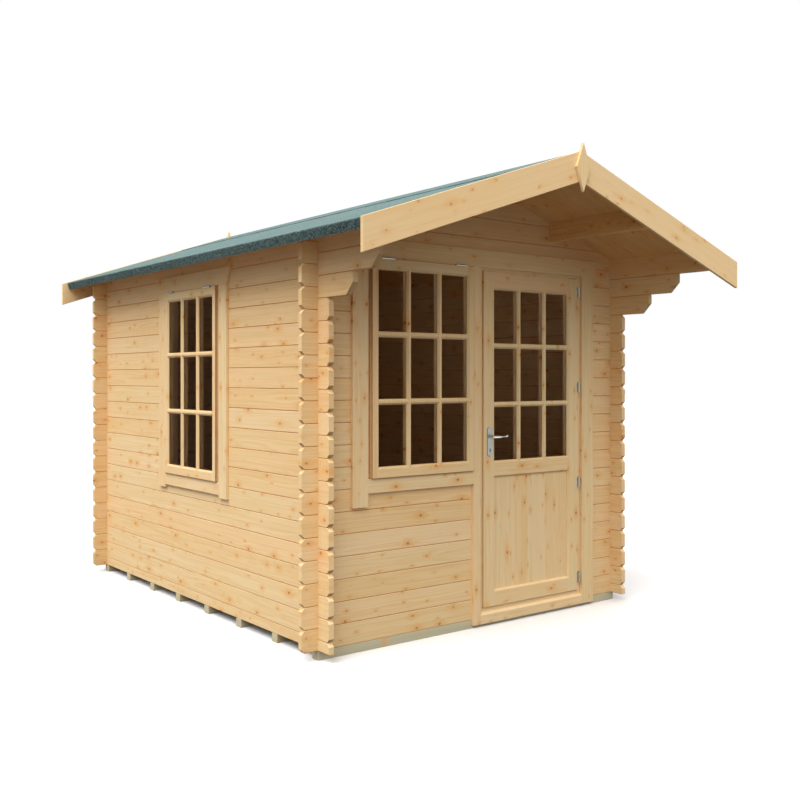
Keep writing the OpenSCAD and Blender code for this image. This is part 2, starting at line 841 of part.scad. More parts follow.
module front_window_frame() {
    x1 = window_frame_left + frame_w;
    foot = window_frame_bottom + seat;
    head = opening_top - seat;
    color(pine)
        on_front() {
            block(window_frame_left, x1, 0, frame_d, foot, head);
            block(x1 + seat, post_left - seat, 0, frame_d, foot, front_sash_z - sash_gap);
            block(x1 + seat, post_left - seat, 0, frame_d, front_sash_top + sash_top_gap, head);
        }
}

module front_window_sash() {
    color(pine) on_front() sash(front_sash_x, front_sash_z);
}

module front_window_glass() {
    color(glass_dark) on_front() sash_glass(front_sash_x, front_sash_z);
}

module front_window_hinges() {
    color(steel) on_front() sash_hinges(front_sash_x, front_sash_top);
}

module front_window_casing() {
    sill_top = front_sash_z - sash_gap;
    sill_low = sill_top - sill_board_w;
    inner = front_casing_left + casing_w;
    color(pine)
        on_front() {
            casing_board(front_casing_left, inner, sill_low - front_casing_drop, head_casing_z - seat);
            casing_board(inner + seat, post_casing_x - seat, sill_low, sill_top);
        }
}

// Side window, in the left wall

module side_window_frame() {
    outer = side_hole_half;
    inner = outer - frame_w;
    rail = inner - seat;
    color(pine_lit)
        on_left() {
            block(-outer, -inner, 0, frame_d, side_hole_low, side_hole_high);
            block(inner, outer, 0, frame_d, side_hole_low, side_hole_high);
            block(-rail, rail, 0, frame_d, side_hole_low, side_hole_low + frame_w);
            block(-rail, rail, 0, frame_d, side_hole_high - frame_w, side_hole_high);
        }
}

module side_window_sash() {
    color(pine_lit) on_left() sash(-sash_w / 2, side_sash_z);
}

module side_window_glass() {
    color(glass_dark) on_left() sash_glass(-sash_w / 2, side_sash_z);
}

module side_window_hinges() {
    color(steel) on_left() sash_hinges(-sash_w / 2, side_sash_z + sash_h);
}

module side_window_casing() {
    sill_top = side_sash_z - sash_gap;
    head_z = side_sash_z + sash_h + sash_top_gap;
    inner = sash_w / 2 + casing_reveal;
    outer = inner + casing_w;
    low = sill_top - sill_board_w - side_casing_drop;
    color(pine_lit)
        on_left() {
            casing_board(-outer, -inner, low, head_z - seat);
            casing_board(inner, outer, low, head_z - seat);
            casing_board(-inner + seat, inner - seat, sill_top - sill_board_w, sill_top);
            head_casing(-outer, outer, head_z);
        }
}

// Door

module hinge_shanks(side, play) {
    for (z = hinge_levels)
        translate([hinge_x, hinge_y, z + side * hinge_half / 2])
            rotate([0, 0, side * shank_lean])
                rotate([-90, 0, 0]) cylinder(d = shank_d + 2 * play, h = shank_len + play);
}

// Posts, head and threshold, with stops behind the leaf
module door_frame() {
    head_low = leaf_top + leaf_gap;
    foot_top = leaf_z - leaf_gap;
    stop_front = leaf_t - leaf_out + leaf_gap;
    stop_left = leaf_x + stop_reach;
    stop_right = leaf_right - stop_reach;
    color(pine)
        difference() {
            on_front() {
                block(post_left, post_right, 0, frame_d, seat, opening_top - seat);
                block(jamb_left, jamb_right, 0, frame_d, seat, opening_top - seat);
                block(post_right + seat, jamb_left - seat, 0, frame_d, head_low, opening_top - seat);
                block(post_right + seat, jamb_left - seat, 0, frame_d, seat, foot_top);
                block(post_right + seat, stop_left, stop_front, frame_d, foot_top + seat, head_low - seat);
                block(stop_right, jamb_left - seat, stop_front, frame_d, foot_top + seat, head_low - seat);
                block(stop_left + seat, stop_right - seat, stop_front, frame_d,
                      leaf_top - stop_reach, head_low - seat);
            }
            hinge_shanks(-1, seat);
        }
}

module door_casing() {
    color(pine)
        on_front() {
            casing_board(post_casing_x, post_casing_right, -foot_casing, head_casing_z - seat);
            casing_board(hinge_casing_x, hinge_casing_right, -foot_casing, head_casing_z - seat);
            foot_board(post_casing_right + seat, hinge_casing_x - seat);
            head_casing(front_casing_left, hinge_casing_right, head_casing_z);
        }
}

// Two stiles and three rails, grooved for glass and panel, with bars before and behind the glass
module door_leaf() {
    front = -leaf_out;
    back = front + leaf_t;
    in_x0 = leaf_x + leaf_stile;
    in_x1 = leaf_right - leaf_stile;
    glass_y = front + glass_back;
    color(pine)
        difference() {
            on_front() {
                difference() {
                    union() {
                        block(leaf_x, in_x0, front, back, leaf_z, leaf_top);
                        block(in_x1, leaf_right, front, back, leaf_z, leaf_top);
                        block(in_x0 + seat, in_x1 - seat, front, back, leaf_z, panel_low);
                        block(in_x0 + seat, in_x1 - seat, front, back, panel_low + panel_h, glass_low);
                        block(in_x0 + seat, in_x1 - seat, front, back, glass_high, leaf_top);
                    }
                    sheet(in_x0, in_x1, glass_low, glass_high, glass_y, glass_t, glass_edge, seat);
                    sheet(in_x0, in_x1, panel_low, panel_low + panel_h, front + (leaf_t - panel_t) / 2,
                          panel_t, glass_edge, seat);
                    pane_bevels(in_x0, in_x1, glass_low, glass_high, front, 3);
                    pane_bevels(in_x0, in_x1, panel_low, panel_low + panel_h, front, 1);
                }
                difference() {
                    glazing_bars(in_x0, in_x1, glass_low, glass_high, front + seat, glass_y - seat);
                    pane_bevels(in_x0, in_x1, glass_low, glass_high, front, 3);
                }
                glazing_bars(in_x0, in_x1, glass_low, glass_high, glass_y + glass_t + seat, back - seat);
            }
            hinge_shanks(1, seat);
            translate([spindle_x, leaf_front - past, spindle_z])
                rotate([-90, 0, 0]) cylinder(d = spindle_d + 2 * pin_play, h = leaf_t + 2 * past);
        }
}

module door_panel() {
    color(pine)
        on_front()
            sheet(leaf_x + leaf_stile, leaf_right - leaf_stile, panel_low, panel_low + panel_h,
                  (leaf_t - panel_t) / 2 - leaf_out, panel_t, glass_edge, 0);
}

module door_glass() {
    color(glass_dark)
        on_front()
            sheet(leaf_x + leaf_stile, leaf_right - leaf_stile, glass_low, glass_high, glass_back - leaf_out,
                  glass_t, glass_edge, 0);
}

module plate_bore(z, d) {
    translate([0, -plate_t - past, z])
        rotate([-90, 0, 0]) cylinder(d = d, h = plate_t + 2 * past);
}

// Long plate with round ends, a bore for the lever's neck and a keyhole
module handle_plate() {
    low = plate_above - plate_h + plate_w / 2;
    high = plate_above - plate_w / 2;
    difference() {
        along_y(-plate_t, 0)
            union() {
                translate([0, low]) circle(d = plate_w);
                translate([0, high]) circle(d = plate_w);
                translate([-plate_w / 2, low]) square([plate_w, high - low]);
            }
        plate_bore(0, neck_d + 2 * pin_play);
        plate_bore(-keyhole_drop, keyhole_d);
        block(-keyhole_w / 2, keyhole_w / 2, -plate_t - past, past, -keyhole_drop - keyhole_h, -keyhole_drop);
    }
}

module door_handle_plates() {
    color(steel) {
        translate([spindle_x, leaf_front - seat, spindle_z]) handle_plate();
        translate([spindle_x, leaf_back + seat, spindle_z]) mirror([0, 1, 0]) handle_plate();
    }
}

// Neck, bar and upturned tip of one lever, from the plate's face outwards
module lever_arm() {
    out = lever_off + plate_t;
    tip = lever_len - tip_bend;
    rotate([90, 0, 0]) cylinder(d = neck_d, h = out - lever_d / 2);
    translate([0, -out, 0]) {
        rotate([90, 0, 0]) cylinder(d = neck_d, h = lever_d, center = true);
        rotate([0, 90, 0]) cylinder(d = lever_d, h = tip);
        translate([tip, 0, tip_bend])
            rotate([90, 0, 0])
                rotate([0, 0, -90])
                    rotate_extrude(angle = tip_turn) translate([tip_bend, 0]) circle(d = lever_d);
    }
}

module door_lever() {
    color(steel) {
        translate([spindle_x, leaf_front - seat, spindle_z]) lever_arm();
        translate([spindle_x, leaf_back + seat, spindle_z]) mirror([0, 1, 0]) lever_arm();
        translate([spindle_x, leaf_front - past, spindle_z])
            rotate([-90, 0, 0]) cylinder(d = spindle_d, h = leaf_t + 2 * past);
    }
}

// Lower hinge halves with their pins, screwed into the jamb
module door_hinge_frame_halves() {
    color(steel) {
        for (z = hinge_levels)
            translate([hinge_x, hinge_y, z - hinge_half]) {
                cylinder(d = hinge_d, h = hinge_half - seat);
                cylinder(d = hinge_pin_d, h = hinge_half + hinge_bore - pin_end_play);
            }
        hinge_shanks(-1, 0);
    }
}

// Upper hinge halves, bored for the pins and screwed into the leaf
module door_hinge_leaf_halves() {
    color(steel)
        difference() {
            union() {
                for (z = hinge_levels)
                    translate([hinge_x, hinge_y, z + seat]) cylinder(d = hinge_d, h = hinge_half - seat);
                hinge_shanks(1, 0);
            }
            for (z = hinge_levels)
                translate([hinge_x, hinge_y, z - past])
                    cylinder(d = hinge_pin_d + 2 * pin_play, h = past + hinge_bore);
        }
}

floor_bearers();
floor_boards();
front_wall_left_logs();
front_wall_right_logs();
front_gable_logs();
left_wall_logs();
right_wall_logs();
back_wall_logs();
back_gable_logs();
ridge_purlin();
side_purlins();
roof_boards_left();
roof_boards_right();
eave_battens();
roof_felt_left();
roof_felt_right();
ridge_felt();
barge_front_left();
barge_front_right();
barge_back_left();
barge_back_right();
finial_front();
finial_back();
front_window_frame();
front_window_sash();
front_window_glass();
front_window_casing();
front_window_hinges();
side_window_frame();
side_window_sash();
side_window_glass();
side_window_casing();
side_window_hinges();
door_frame();
door_casing();
door_leaf();
door_panel();
door_glass();
door_handle_plates();
door_lever();
door_hinge_frame_halves();
door_hinge_leaf_halves();
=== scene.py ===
# %% [markdown]
# A garden log cabin, dressed
#
# The cabin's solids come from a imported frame: logs, roof boards, felt, windows and a door, each at
# its real size and place, in metres. This lesson gives every one of them its finish, adds the small
# pieces that a carpenter would notice, and sets up the camera and a plain white studio.
# The frame never moves. What needs softer edges or a finer shape is rebuilt as arrays of points, and
# the new piece then stands for the plain one.

# %% Load the frame
import json
import math

import bpy
import numpy as np
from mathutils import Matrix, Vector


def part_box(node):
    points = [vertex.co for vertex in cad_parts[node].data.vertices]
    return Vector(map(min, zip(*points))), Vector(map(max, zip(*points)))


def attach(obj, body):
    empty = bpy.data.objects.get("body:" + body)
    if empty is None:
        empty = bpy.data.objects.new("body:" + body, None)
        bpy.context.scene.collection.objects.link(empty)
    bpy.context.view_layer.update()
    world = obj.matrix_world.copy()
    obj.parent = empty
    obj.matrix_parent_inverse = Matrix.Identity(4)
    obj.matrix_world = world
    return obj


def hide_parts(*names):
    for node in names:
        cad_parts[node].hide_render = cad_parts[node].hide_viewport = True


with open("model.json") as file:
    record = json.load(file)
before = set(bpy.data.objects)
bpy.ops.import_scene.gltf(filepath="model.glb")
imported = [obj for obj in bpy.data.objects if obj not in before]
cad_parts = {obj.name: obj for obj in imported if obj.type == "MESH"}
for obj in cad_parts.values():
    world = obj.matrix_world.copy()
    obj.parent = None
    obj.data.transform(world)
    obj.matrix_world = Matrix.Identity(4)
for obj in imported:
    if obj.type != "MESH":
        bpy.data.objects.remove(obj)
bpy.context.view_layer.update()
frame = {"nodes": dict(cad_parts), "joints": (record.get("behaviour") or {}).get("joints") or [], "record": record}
SEED = 114
scene = bpy.context.scene
rng = np.random.default_rng(SEED)
record = frame["record"]
slot_of = {part["node"]: part["material_slot"] for part in record["subparts"]}
body_of = {node: body for body, nodes in record["behaviour"]["bodies"].items() for node in nodes}

# %% [markdown]
# The camera
#
# Level edges of the cabin look level to an eye at a height of 1.42 m, so the camera stands level. It
# could be tilted down to frame the cabin, but then the posts would lean. A small downward shift of the
# lens frames it as well and keeps them upright.

# %% Place the camera
EYE = (-3.766, -5.2805, 1.420)
YAW = 37.6
SENSOR = 36.0
LENS = 43.74
SHIFT_DOWN = 0.0284

camera = bpy.data.objects.new("cabin_camera", bpy.data.cameras.new("cabin_camera"))
scene.collection.objects.link(camera)
camera.location = EYE
camera.rotation_euler = (math.radians(90), 0, -math.radians(YAW))
camera.data.sensor_width = SENSOR
camera.data.lens = LENS
camera.data.shift_y = -SHIFT_DOWN
scene.camera = camera
print("camera", EYE, "turned", YAW, "degrees")

# %% [markdown]
# Wiring helper
#
# A finish is a tree of nodes. Wiring one by hand takes several lines a node, so this helper adds a
# node, sets it up and feeds its inputs in one call, and hands back an output for the next call.


# %% Wire nodes in one line
class Wiring:
    """A node tree under construction. Each method adds one node and returns one of its outputs."""

    def __init__(self, tree):
        self.tree = tree

    def add(self, kind, inputs, out=0, **settings):
        """Adds a node; inputs maps a socket's name or place to a number, a colour or another output."""
        node = self.tree.nodes.new(kind)
        for key, value in settings.items():
            setattr(node, key, value)
        for key, value in inputs.items():
            if isinstance(value, bpy.types.NodeSocket):
                self.tree.links.new(value, node.inputs[key])
            else:
                node.inputs[key].default_value = value
        return node.outputs[out]

    def math(self, operation, *values):
        return self.add("ShaderNodeMath", dict(enumerate(values)), operation=operation)

    def vector(self, operation, *values, out=0):
        return self.add("ShaderNodeVectorMath", dict(enumerate(values)), out, operation=operation)

    def length(self, vector):
        return self.vector("LENGTH", vector, out="Value")

    def parts(self, vector):
        split = self.add("ShaderNodeSeparateXYZ", {0: vector}).node
        return split.outputs[0], split.outputs[1], split.outputs[2]

    def join(self, x, y, z):
        return self.add("ShaderNodeCombineXYZ", {0: x, 1: y, 2: z})

    def step(self, value, low, high, to_low=0.0, to_high=1.0):
        """A smooth rise from to_low, where value is low, to to_high, where it is high."""
        inputs = {0: value, 1: low, 2: high, 3: to_low, 4: to_high}
        return self.add("ShaderNodeMapRange", inputs, interpolation_type="SMOOTHSTEP")

    def mix(self, share, first, second, how="MIX"):
        inputs = {0: share, 6: first, 7: second}
        return self.add("ShaderNodeMix", inputs, 2, data_type="RGBA", blend_type=how)

    def noise(self, place, scale=1.0, detail=2.0, rough=0.5, out=0):
        inputs = {"Vector": place, "Scale": scale, "Detail": detail, "Roughness": rough}
        return self.add("ShaderNodeTexNoise", inputs, out)

    def place(self):
        """The place on the object, in metres."""
        return self.add("ShaderNodeTexCoord", {}, "Object")

    def attribute(self, name, out):
        return self.add("ShaderNodeAttribute", {}, out, attribute_name=name)


print("wiring helper ready")


# %% Start a finish
def new_finish(name):
    """An empty material with its wiring, its shader and its output."""
    material = bpy.data.materials.new(name)
    material.use_nodes = True
    tree = material.node_tree
    tree.nodes.clear()
    wiring = Wiring(tree)
    shader = tree.nodes.new("ShaderNodeBsdfPrincipled")
    output = tree.nodes.new("ShaderNodeOutputMaterial")
    tree.links.new(shader.outputs[0], output.inputs[0])
    return material, wiring, shader


def feed(wiring, shader, **sockets):
    """Sets or wires a shader's sockets by name, with _ for a blank."""
    for name, value in sockets.items():
        socket = shader.inputs[name.replace("_", " ")]
        if isinstance(value, bpy.types.NodeSocket):
            wiring.tree.links.new(value, socket)
        else:
            socket.default_value = value


print("finish helpers ready")

# %% [markdown]
# Studio
#
# The floor and the sky are white where the eye or a mirror sees them. Light that bounces off the floor
# is kept low, so that the space under the eaves stays as deep as it is outdoors. Most of the light comes
# from high in the sky, a little to the front, which shades off into corners and under eaves the way
# daylight does. A wide soft sun on the left makes the side wall the brighter one and lays the shade of the
# eave on it.

# %% Light the studio
SKY_LIGHT = 2.15
SKY_BRIGHT = (-0.16, -0.26, 0.94)
SUN_POWER = 2.1
SUN_SPREAD = 45
SUN_FROM = (-0.80, -0.25, 1.20)


def seen_by_eye(wiring):
    """1 on rays from the eye, a mirror or glass, and 0 on rays that only carry light."""
    path = wiring.add("ShaderNodeLightPath", {}).node
    mirror = wiring.math("MAXIMUM", path.outputs["Is Glossy Ray"], path.outputs["Is Transmission Ray"])
    return wiring.math("MAXIMUM", path.outputs["Is Camera Ray"], mirror)


world = bpy.data.worlds.new("white_studio")
world.use_nodes = True
scene.world = world
sky = Wiring(world.node_tree)
background = world.node_tree.nodes["Background"]
background.inputs["Color"].default_value = (1, 1, 1, 1)
# the first output of this node in a world is the way that a ray goes
sky_way = sky.vector("NORMALIZE", sky.add("ShaderNodeTexCoord", {}))
sky_rise = sky.vector("DOT_PRODUCT", sky_way, SKY_BRIGHT, out="Value")
sky_light = sky.math("MULTIPLY", sky.math("MAXIMUM", sky_rise, 0.0), SKY_LIGHT)
eye = seen_by_eye(sky)
sky_strength = sky.math("ADD", eye, sky.math("MULTIPLY", sky_light, sky.math("SUBTRACT", 1.0, eye)))
world.node_tree.links.new(sky_strength, background.inputs["Strength"])

sun = bpy.data.objects.new("soft_sun", bpy.data.lights.new("soft_sun", "SUN"))
scene.collection.objects.link(sun)
sun.data.energy = SUN_POWER
sun.data.angle = math.radians(SUN_SPREAD)
sun.rotation_euler = Vector(SUN_FROM).to_track_quat("Z", "Y").to_euler()
scene.view_settings.view_transform = "Standard"
print("studio: sky", SKY_LIGHT, "sun", SUN_POWER)

# %% Lay the floor
FLOOR_SEEN = 0.90
FLOOR_BOUNCE = 0.07
FLOOR_ROUGH = 0.9
FLOOR_HALF = 60.0

floor_mesh = bpy.data.meshes.new("studio_floor")
floor_corners = [(-FLOOR_HALF, -FLOOR_HALF, 0), (FLOOR_HALF, -FLOOR_HALF, 0),
                 (FLOOR_HALF, FLOOR_HALF, 0), (-FLOOR_HALF, FLOOR_HALF, 0)]
floor_mesh.from_pydata(floor_corners, [], [(0, 1, 2, 3)])
studio_floor = bpy.data.objects.new("studio_floor", floor_mesh)
scene.collection.objects.link(studio_floor)
floor_finish, wiring, shader = new_finish("white_floor")
floor_tone = wiring.step(seen_by_eye(wiring), 0, 1, FLOOR_BOUNCE, FLOOR_SEEN)
feed(wiring, shader, Base_Color=floor_tone, Roughness=FLOOR_ROUGH)
floor_mesh.materials.append(floor_finish)
print("floor", 2 * FLOOR_HALF, "m wide")

# %% [markdown]
# One timber, one grain
#
# A wall node holds many logs. The grain should run along each log and start at another place in each,
# as they come from other trees. So the solids in a node are told apart, and every corner gets its place
# in its own timber: along the grain, across the face and into the depth. The longest direction of a
# timber is found from its corners by a singular value decomposition, which also works on sloping boards.

# %% Take a node's solids apart
WELD = 2e-5


def welded(node):
    """Corners and triangles of a node. Corners that round to the same multiple of WELD become one."""
    mesh = frame["nodes"][node].data
    mesh.calc_loop_triangles()
    corners = np.empty(len(mesh.vertices) * 3)
    mesh.vertices.foreach_get("co", corners)
    triangles = np.empty(len(mesh.loop_triangles) * 3, int)
    mesh.loop_triangles.foreach_get("vertices", triangles)
    corners = corners.reshape(-1, 3)
    keys = np.round(corners / WELD).astype(np.int64)
    first, same = np.unique(keys, axis=0, return_index=True, return_inverse=True)[1:]
    return corners[first], same.ravel()[triangles].reshape(-1, 3)


def solid_numbers(corners, triangles):
    """A number for the solid that each corner is in: triangles hand round their lowest corner number
    until every corner of a solid has the lowest of them all."""
    label = np.arange(len(corners))
    while True:
        spread = label.copy()
        np.minimum.at(spread, triangles, label[triangles].min(axis=1)[:, None])
        spread = spread[spread]
        if np.array_equal(spread, label):
            return np.unique(label, return_inverse=True)[1]
        label = spread


def grain_places(corners, solid):
    """Each corner's place along, across and into its own timber, measured from the timber's middle on the
    axes in which its corners spread most, less and least."""
    places = np.empty_like(corners)
    for number in range(solid.max() + 1):
        mine = solid == number
        middle = (corners[mine].min(axis=0) + corners[mine].max(axis=0)) / 2
        axes = np.linalg.svd(corners[mine] - middle, full_matrices=False)[2]
        places[mine] = (corners[mine] - middle) @ axes.T
    return places


left_corners, left_triangles = welded("left_wall_logs")
left_solids = solid_numbers(left_corners, left_triangles)
print("left wall:", left_solids.max() + 1, "solids,", len(left_triangles), "triangles")

# %% [markdown]
# Dressed copies
#
# Sawn timber has a slightly rounded edge, which catches the light. It could be cut into the solids, at
# the cost of many faces. A bevel on a welded copy gives the same look, and the copy also carries what
# its finish has to know: the grain, the number of the timber, and where two logs meet.


# %% Put a piece into the scene
def link_piece(mesh, body, slot, finish, *stands_for):
    """Puts a new mesh into the scene under its own name, on a body, for the nodes that it stands for."""
    piece = bpy.data.objects.new(mesh.name, mesh)
    scene.collection.objects.link(piece)
    mesh.materials.append(finish)
    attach(piece, body)
    if stands_for:
        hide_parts(*stands_for)
    return piece


def store(mesh, name, kind, values, where="POINT"):
    """Keeps an array on the corners or faces of a mesh under a name that a finish can read."""
    layer = mesh.attributes.new(name, kind, where)
    field = "vector" if kind == "FLOAT_VECTOR" else "value"
    layer.data.foreach_set(field, np.ascontiguousarray(values, dtype=np.float32).ravel())


FLAT_WITHIN = 1
EDGE_OVER = 30
EASE_SEGMENTS = 2


def ease_edges(piece, width):
    """Rounds the sharp edges of a piece: flat triangles are joined first, then edges get a narrow bevel."""
    flat = piece.modifiers.new("flat_faces", "DECIMATE")
    flat.decimate_type = "DISSOLVE"
    flat.angle_limit = math.radians(FLAT_WITHIN)
    bevel = piece.modifiers.new("eased_edges", "BEVEL")
    bevel.width = width
    bevel.segments = EASE_SEGMENTS
    bevel.limit_method = "ANGLE"
    bevel.angle_limit = math.radians(EDGE_OVER)


print("edges over", EDGE_OVER, "degrees can be eased")

# %% Find where logs meet
LOG_HALF = 0.015
LOG_CHAMFER = 0.003
STEEP = 0.5


def joint_share(places):
    """0 on the face of a log and 1 where its chamfer meets the joint, by the depth of a corner."""
    return np.clip((LOG_HALF - np.abs(places[:, 2])) / LOG_CHAMFER, 0, 1)


def log_edges(node, corners, triangles):
    """Three shares for each triangle: 1 on the chamfer under a log, on the chamfer over it, and on a slant
    under its end. They are told apart by the triangle's normal: up or down, and out of the wall or not."""
    a, b, c = (corners[triangles[:, k]] for k in range(3))
    normal = np.cross(b - a, c - a)
    normal = normal / np.maximum(np.linalg.norm(normal, axis=1), 1e-12)[:, None]
    through = np.abs(normal[:, 1 if node.startswith(("front", "back")) else 0])
    down, up, on_face = normal[:, 2] < -STEEP, normal[:, 2] > STEEP, through > STEEP
    return np.stack([down & on_face, up & on_face, down & ~on_face], axis=1).astype(float)


def dress_timber(node, finish, ease):
    """A copy of a node with welded corners, its grain places and one random number a timber."""
    corners, triangles = welded(node)
    solid = solid_numbers(corners, triangles)
    mesh = bpy.data.meshes.new(node + "_timber")
    mesh.from_pydata(corners, [], triangles)
    places = grain_places(corners, solid)
    store(mesh, "grain", "FLOAT_VECTOR", places)
    store(mesh, "plank", "FLOAT", rng.random(solid.max() + 1)[solid])
    if slot_of[node] == "log_pine":
        store(mesh, "joint", "FLOAT", joint_share(places))
        store(mesh, "edges", "FLOAT_VECTOR", log_edges(node, corners, triangles), "FACE")
    piece = link_piece(mesh, body_of[node], slot_of[node], finish, node)
    if ease > 0:
        ease_edges(piece, ease)
    return solid.max() + 1


left_edges = log_edges("left_wall_logs", left_corners, left_triangles)
print("left wall: chamfers below, above and slants:", left_edges.sum(axis=0).astype(int))

# %% [markdown]
# Pine
#
# Planed pine is pale, with yearly rings that show as soft stripes, and orange-brown knots where branches
# grew. The rings are cylinders round the tree's middle, so their colour depends on the distance from a line
# that lies somewhere behind each plank. The knots are the cells of a stretched Voronoi pattern: a cell's
# random colour says whether it has a knot and how large it is. A photograph of wood would repeat from
# plank to plank, but a pattern worked out in space never does.

# %% Draw knots
KNOT_CELL = (0.165, 0.078, 1.0)
KNOT_SHARE = 0.58
KNOT_EDGE = 0.01
KNOT_SMALL = 0.0034
KNOT_LARGE = 0.0092
SHAKE_SCALE = (60, 90, 90)
SHAKE = (0.006, 0.006, 0)
# stretch along the grain, and reach in radii of the knot
HEART_REACH = (1.25, 0.95)
GLOW_REACH = (1.8, 2.6)
RESIN_REACH = (7.0, 2.0)
HEART_EDGE = (0.28, 0.72)


def knots(wiring, place):
    """How much of a knot's heart, of its glow and of its resin streak there is at a place on a plank. Each
    is the exponential of minus the square of the distance from the knot's middle over its reach. A fine
    noise shakes the place first, so that no knot is a perfect oval."""
    shake = wiring.noise(wiring.vector("MULTIPLY", place, SHAKE_SCALE), out="Color")
    shake = wiring.vector("MULTIPLY", wiring.vector("SUBTRACT", shake, (0.5, 0.5, 0.5)), SHAKE)
    cells = wiring.vector("MULTIPLY", place, tuple(1 / size for size in KNOT_CELL))
    pattern = {"Vector": cells, "Scale": 1.0}
    voronoi = wiring.add("ShaderNodeTexVoronoi", pattern, voronoi_dimensions="2D").node
    offset = wiring.vector("SUBTRACT", cells, voronoi.outputs["Position"])
    offset = wiring.vector("ADD", wiring.vector("MULTIPLY", offset, KNOT_CELL), shake)
    has, size, resin = wiring.parts(voronoi.outputs["Color"])
    there = wiring.step(has, KNOT_SHARE, KNOT_SHARE + KNOT_EDGE, 1.0, 0.0)
    radius = wiring.step(wiring.math("MULTIPLY", size, size), 0, 1, KNOT_SMALL, KNOT_LARGE)

    def within(stretch, reach):
        away = wiring.length(wiring.vector("MULTIPLY", offset, (1 / stretch, 1, 0)))
        share = wiring.math("DIVIDE", away, wiring.math("MULTIPLY", radius, reach))
        square = wiring.math("MULTIPLY", share, share)
        fall = wiring.math("EXPONENT", wiring.math("MULTIPLY", square, -1.0))
        return wiring.math("MULTIPLY", fall, there)

    heart = wiring.step(within(*HEART_REACH), *HEART_EDGE)
    return heart, within(*GLOW_REACH), wiring.math("MULTIPLY", within(*RESIN_REACH), resin)


print("knots of", KNOT_SMALL, "to", KNOT_LARGE, "m")

# %% Draw year rings
RING_WIDTH = 0.0052
MIDDLE_SPREAD = 0.12
MIDDLE_NEAREST = 0.03
MIDDLE_DEEPER = 0.10
BEND_SCALE = (1.1, 7.0, 7.0)
BEND = 0.022
ROUND_KNOT = 0.007
LATE_RISE = (0.25, 0.85)
LATE_FALL = (0.9, 1.0)
STREAK_SCALE = (1.7, 65, 65)
STREAK_MOST = 0.40


def ring_stripes(wiring, grain, place, chance, glow, ring_share):
    """The share of dark late wood. The distance from the tree's middle, bent by a noise and pushed out
    round a knot, is counted in ring widths, and what is left after the whole rings says how late in the
    year it is."""
    across, into = wiring.parts(grain)[1:]
    second, third = wiring.parts(chance)[1:]
    middle_across = wiring.math("MULTIPLY", wiring.math("SUBTRACT", second, 0.5), MIDDLE_SPREAD)
    middle_into = wiring.math("MULTIPLY_ADD", third, MIDDLE_DEEPER, MIDDLE_NEAREST)
    reach = wiring.join(0.0, wiring.math("SUBTRACT", across, middle_across),
                        wiring.math("SUBTRACT", into, middle_into))
    bend = wiring.noise(wiring.vector("MULTIPLY", place, BEND_SCALE), detail=3)
    distance = wiring.math("MULTIPLY_ADD", bend, BEND, wiring.length(reach))
    distance = wiring.math("MULTIPLY_ADD", glow, ROUND_KNOT, distance)
    phase = wiring.math("FRACT", wiring.math("DIVIDE", distance, RING_WIDTH))
    fall = wiring.step(phase, *LATE_FALL, 1.0, 0.0)
    late = wiring.math("MULTIPLY", wiring.step(phase, *LATE_RISE), fall)
    streak = wiring.noise(wiring.vector("MULTIPLY", place, STREAK_SCALE), detail=3, rough=0.6)
    streak = wiring.step(streak, 0.35, 0.75, 0.0, STREAK_MOST)
    return wiring.math("MULTIPLY_ADD", late, ring_share, streak)


print("year rings of", RING_WIDTH, "m")

# %% Tone the planks and paint shade on the joints
WARM = (1.0, 0.905, 0.80, 1)
GREENISH = (0.93, 0.945, 0.86, 1)
CLOUDY = (0.97, 0.93, 0.80, 1)
CLOUD_SCALE = (2.2, 6.0, 6.0)
# painted shade: slants under log ends, and joint lines lighter on the shaded chamfer, darker on the lit one
END_SHADE = (0.42, 0.25, 0.12, 1)
JOINT_SHADE_BELOW = (0.76, 0.31, 0.11, 1)
JOINT_SHADE_ABOVE = (0.38, 0.14, 0.045, 1)
WARM_MOST = 0.8
GREENISH_MOST = 0.6
CLOUDY_MOST = 0.35
END_SHARE = 0.6


def plank_tone(wiring, colour, place, chance):
    """A colour made warmer and greener by a plank's own chance, and cloudy along the plank."""
    first, _, third = wiring.parts(chance)
    cloud = wiring.noise(wiring.vector("MULTIPLY", place, CLOUD_SCALE), detail=1)
    colour = wiring.mix(wiring.step(first, 0, 1, 0.0, WARM_MOST), colour, WARM, "MULTIPLY")
    colour = wiring.mix(wiring.step(third, 0, 1, 0.0, GREENISH_MOST), colour, GREENISH, "MULTIPLY")
    return wiring.mix(wiring.step(cloud, 0.4, 0.7, 0.0, CLOUDY_MOST), colour, CLOUDY, "MULTIPLY")


def painted_joint_shade(wiring, colour):
    """Painted shade where two logs meet: brown joint lines on the inner parts of the chamfers, lighter on the
    chamfer under a log, which lies in shade, and darker on the lit one over it, and darker slants under the
    ends. On a piece with no such attributes the shares are 0 and the colour stays."""
    joint = wiring.attribute("joint", "Fac")
    below, above, log_end = wiring.parts(wiring.attribute("edges", "Vector"))
    below = wiring.math("MULTIPLY", below, wiring.step(joint, 0.1, 0.5))
    above = wiring.math("MULTIPLY", above, wiring.step(joint, 0.55, 0.75))
    colour = wiring.mix(wiring.math("MULTIPLY", log_end, END_SHARE), colour, END_SHADE)
    colour = wiring.mix(below, colour, JOINT_SHADE_BELOW)
    return wiring.mix(above, colour, JOINT_SHADE_ABOVE)


print("plank tones and painted joint shade ready")

# %% Paint pine
TREES_APART = (40.0, 9.0, 7.0)
RESIN = (0.80, 0.48, 0.15, 1)
KNOT_GLOW = (0.76, 0.37, 0.12, 1)
KNOT_HEART = (0.42, 0.15, 0.04, 1)
RESIN_MOST = 0.55
GLOW_MOST = 0.70
HEART_MOST = 0.85
SHINE = 0.10
ROUGH = 0.52
ROUGH_MORE = 0.12
GRAIN_DEPTH = 0.0006


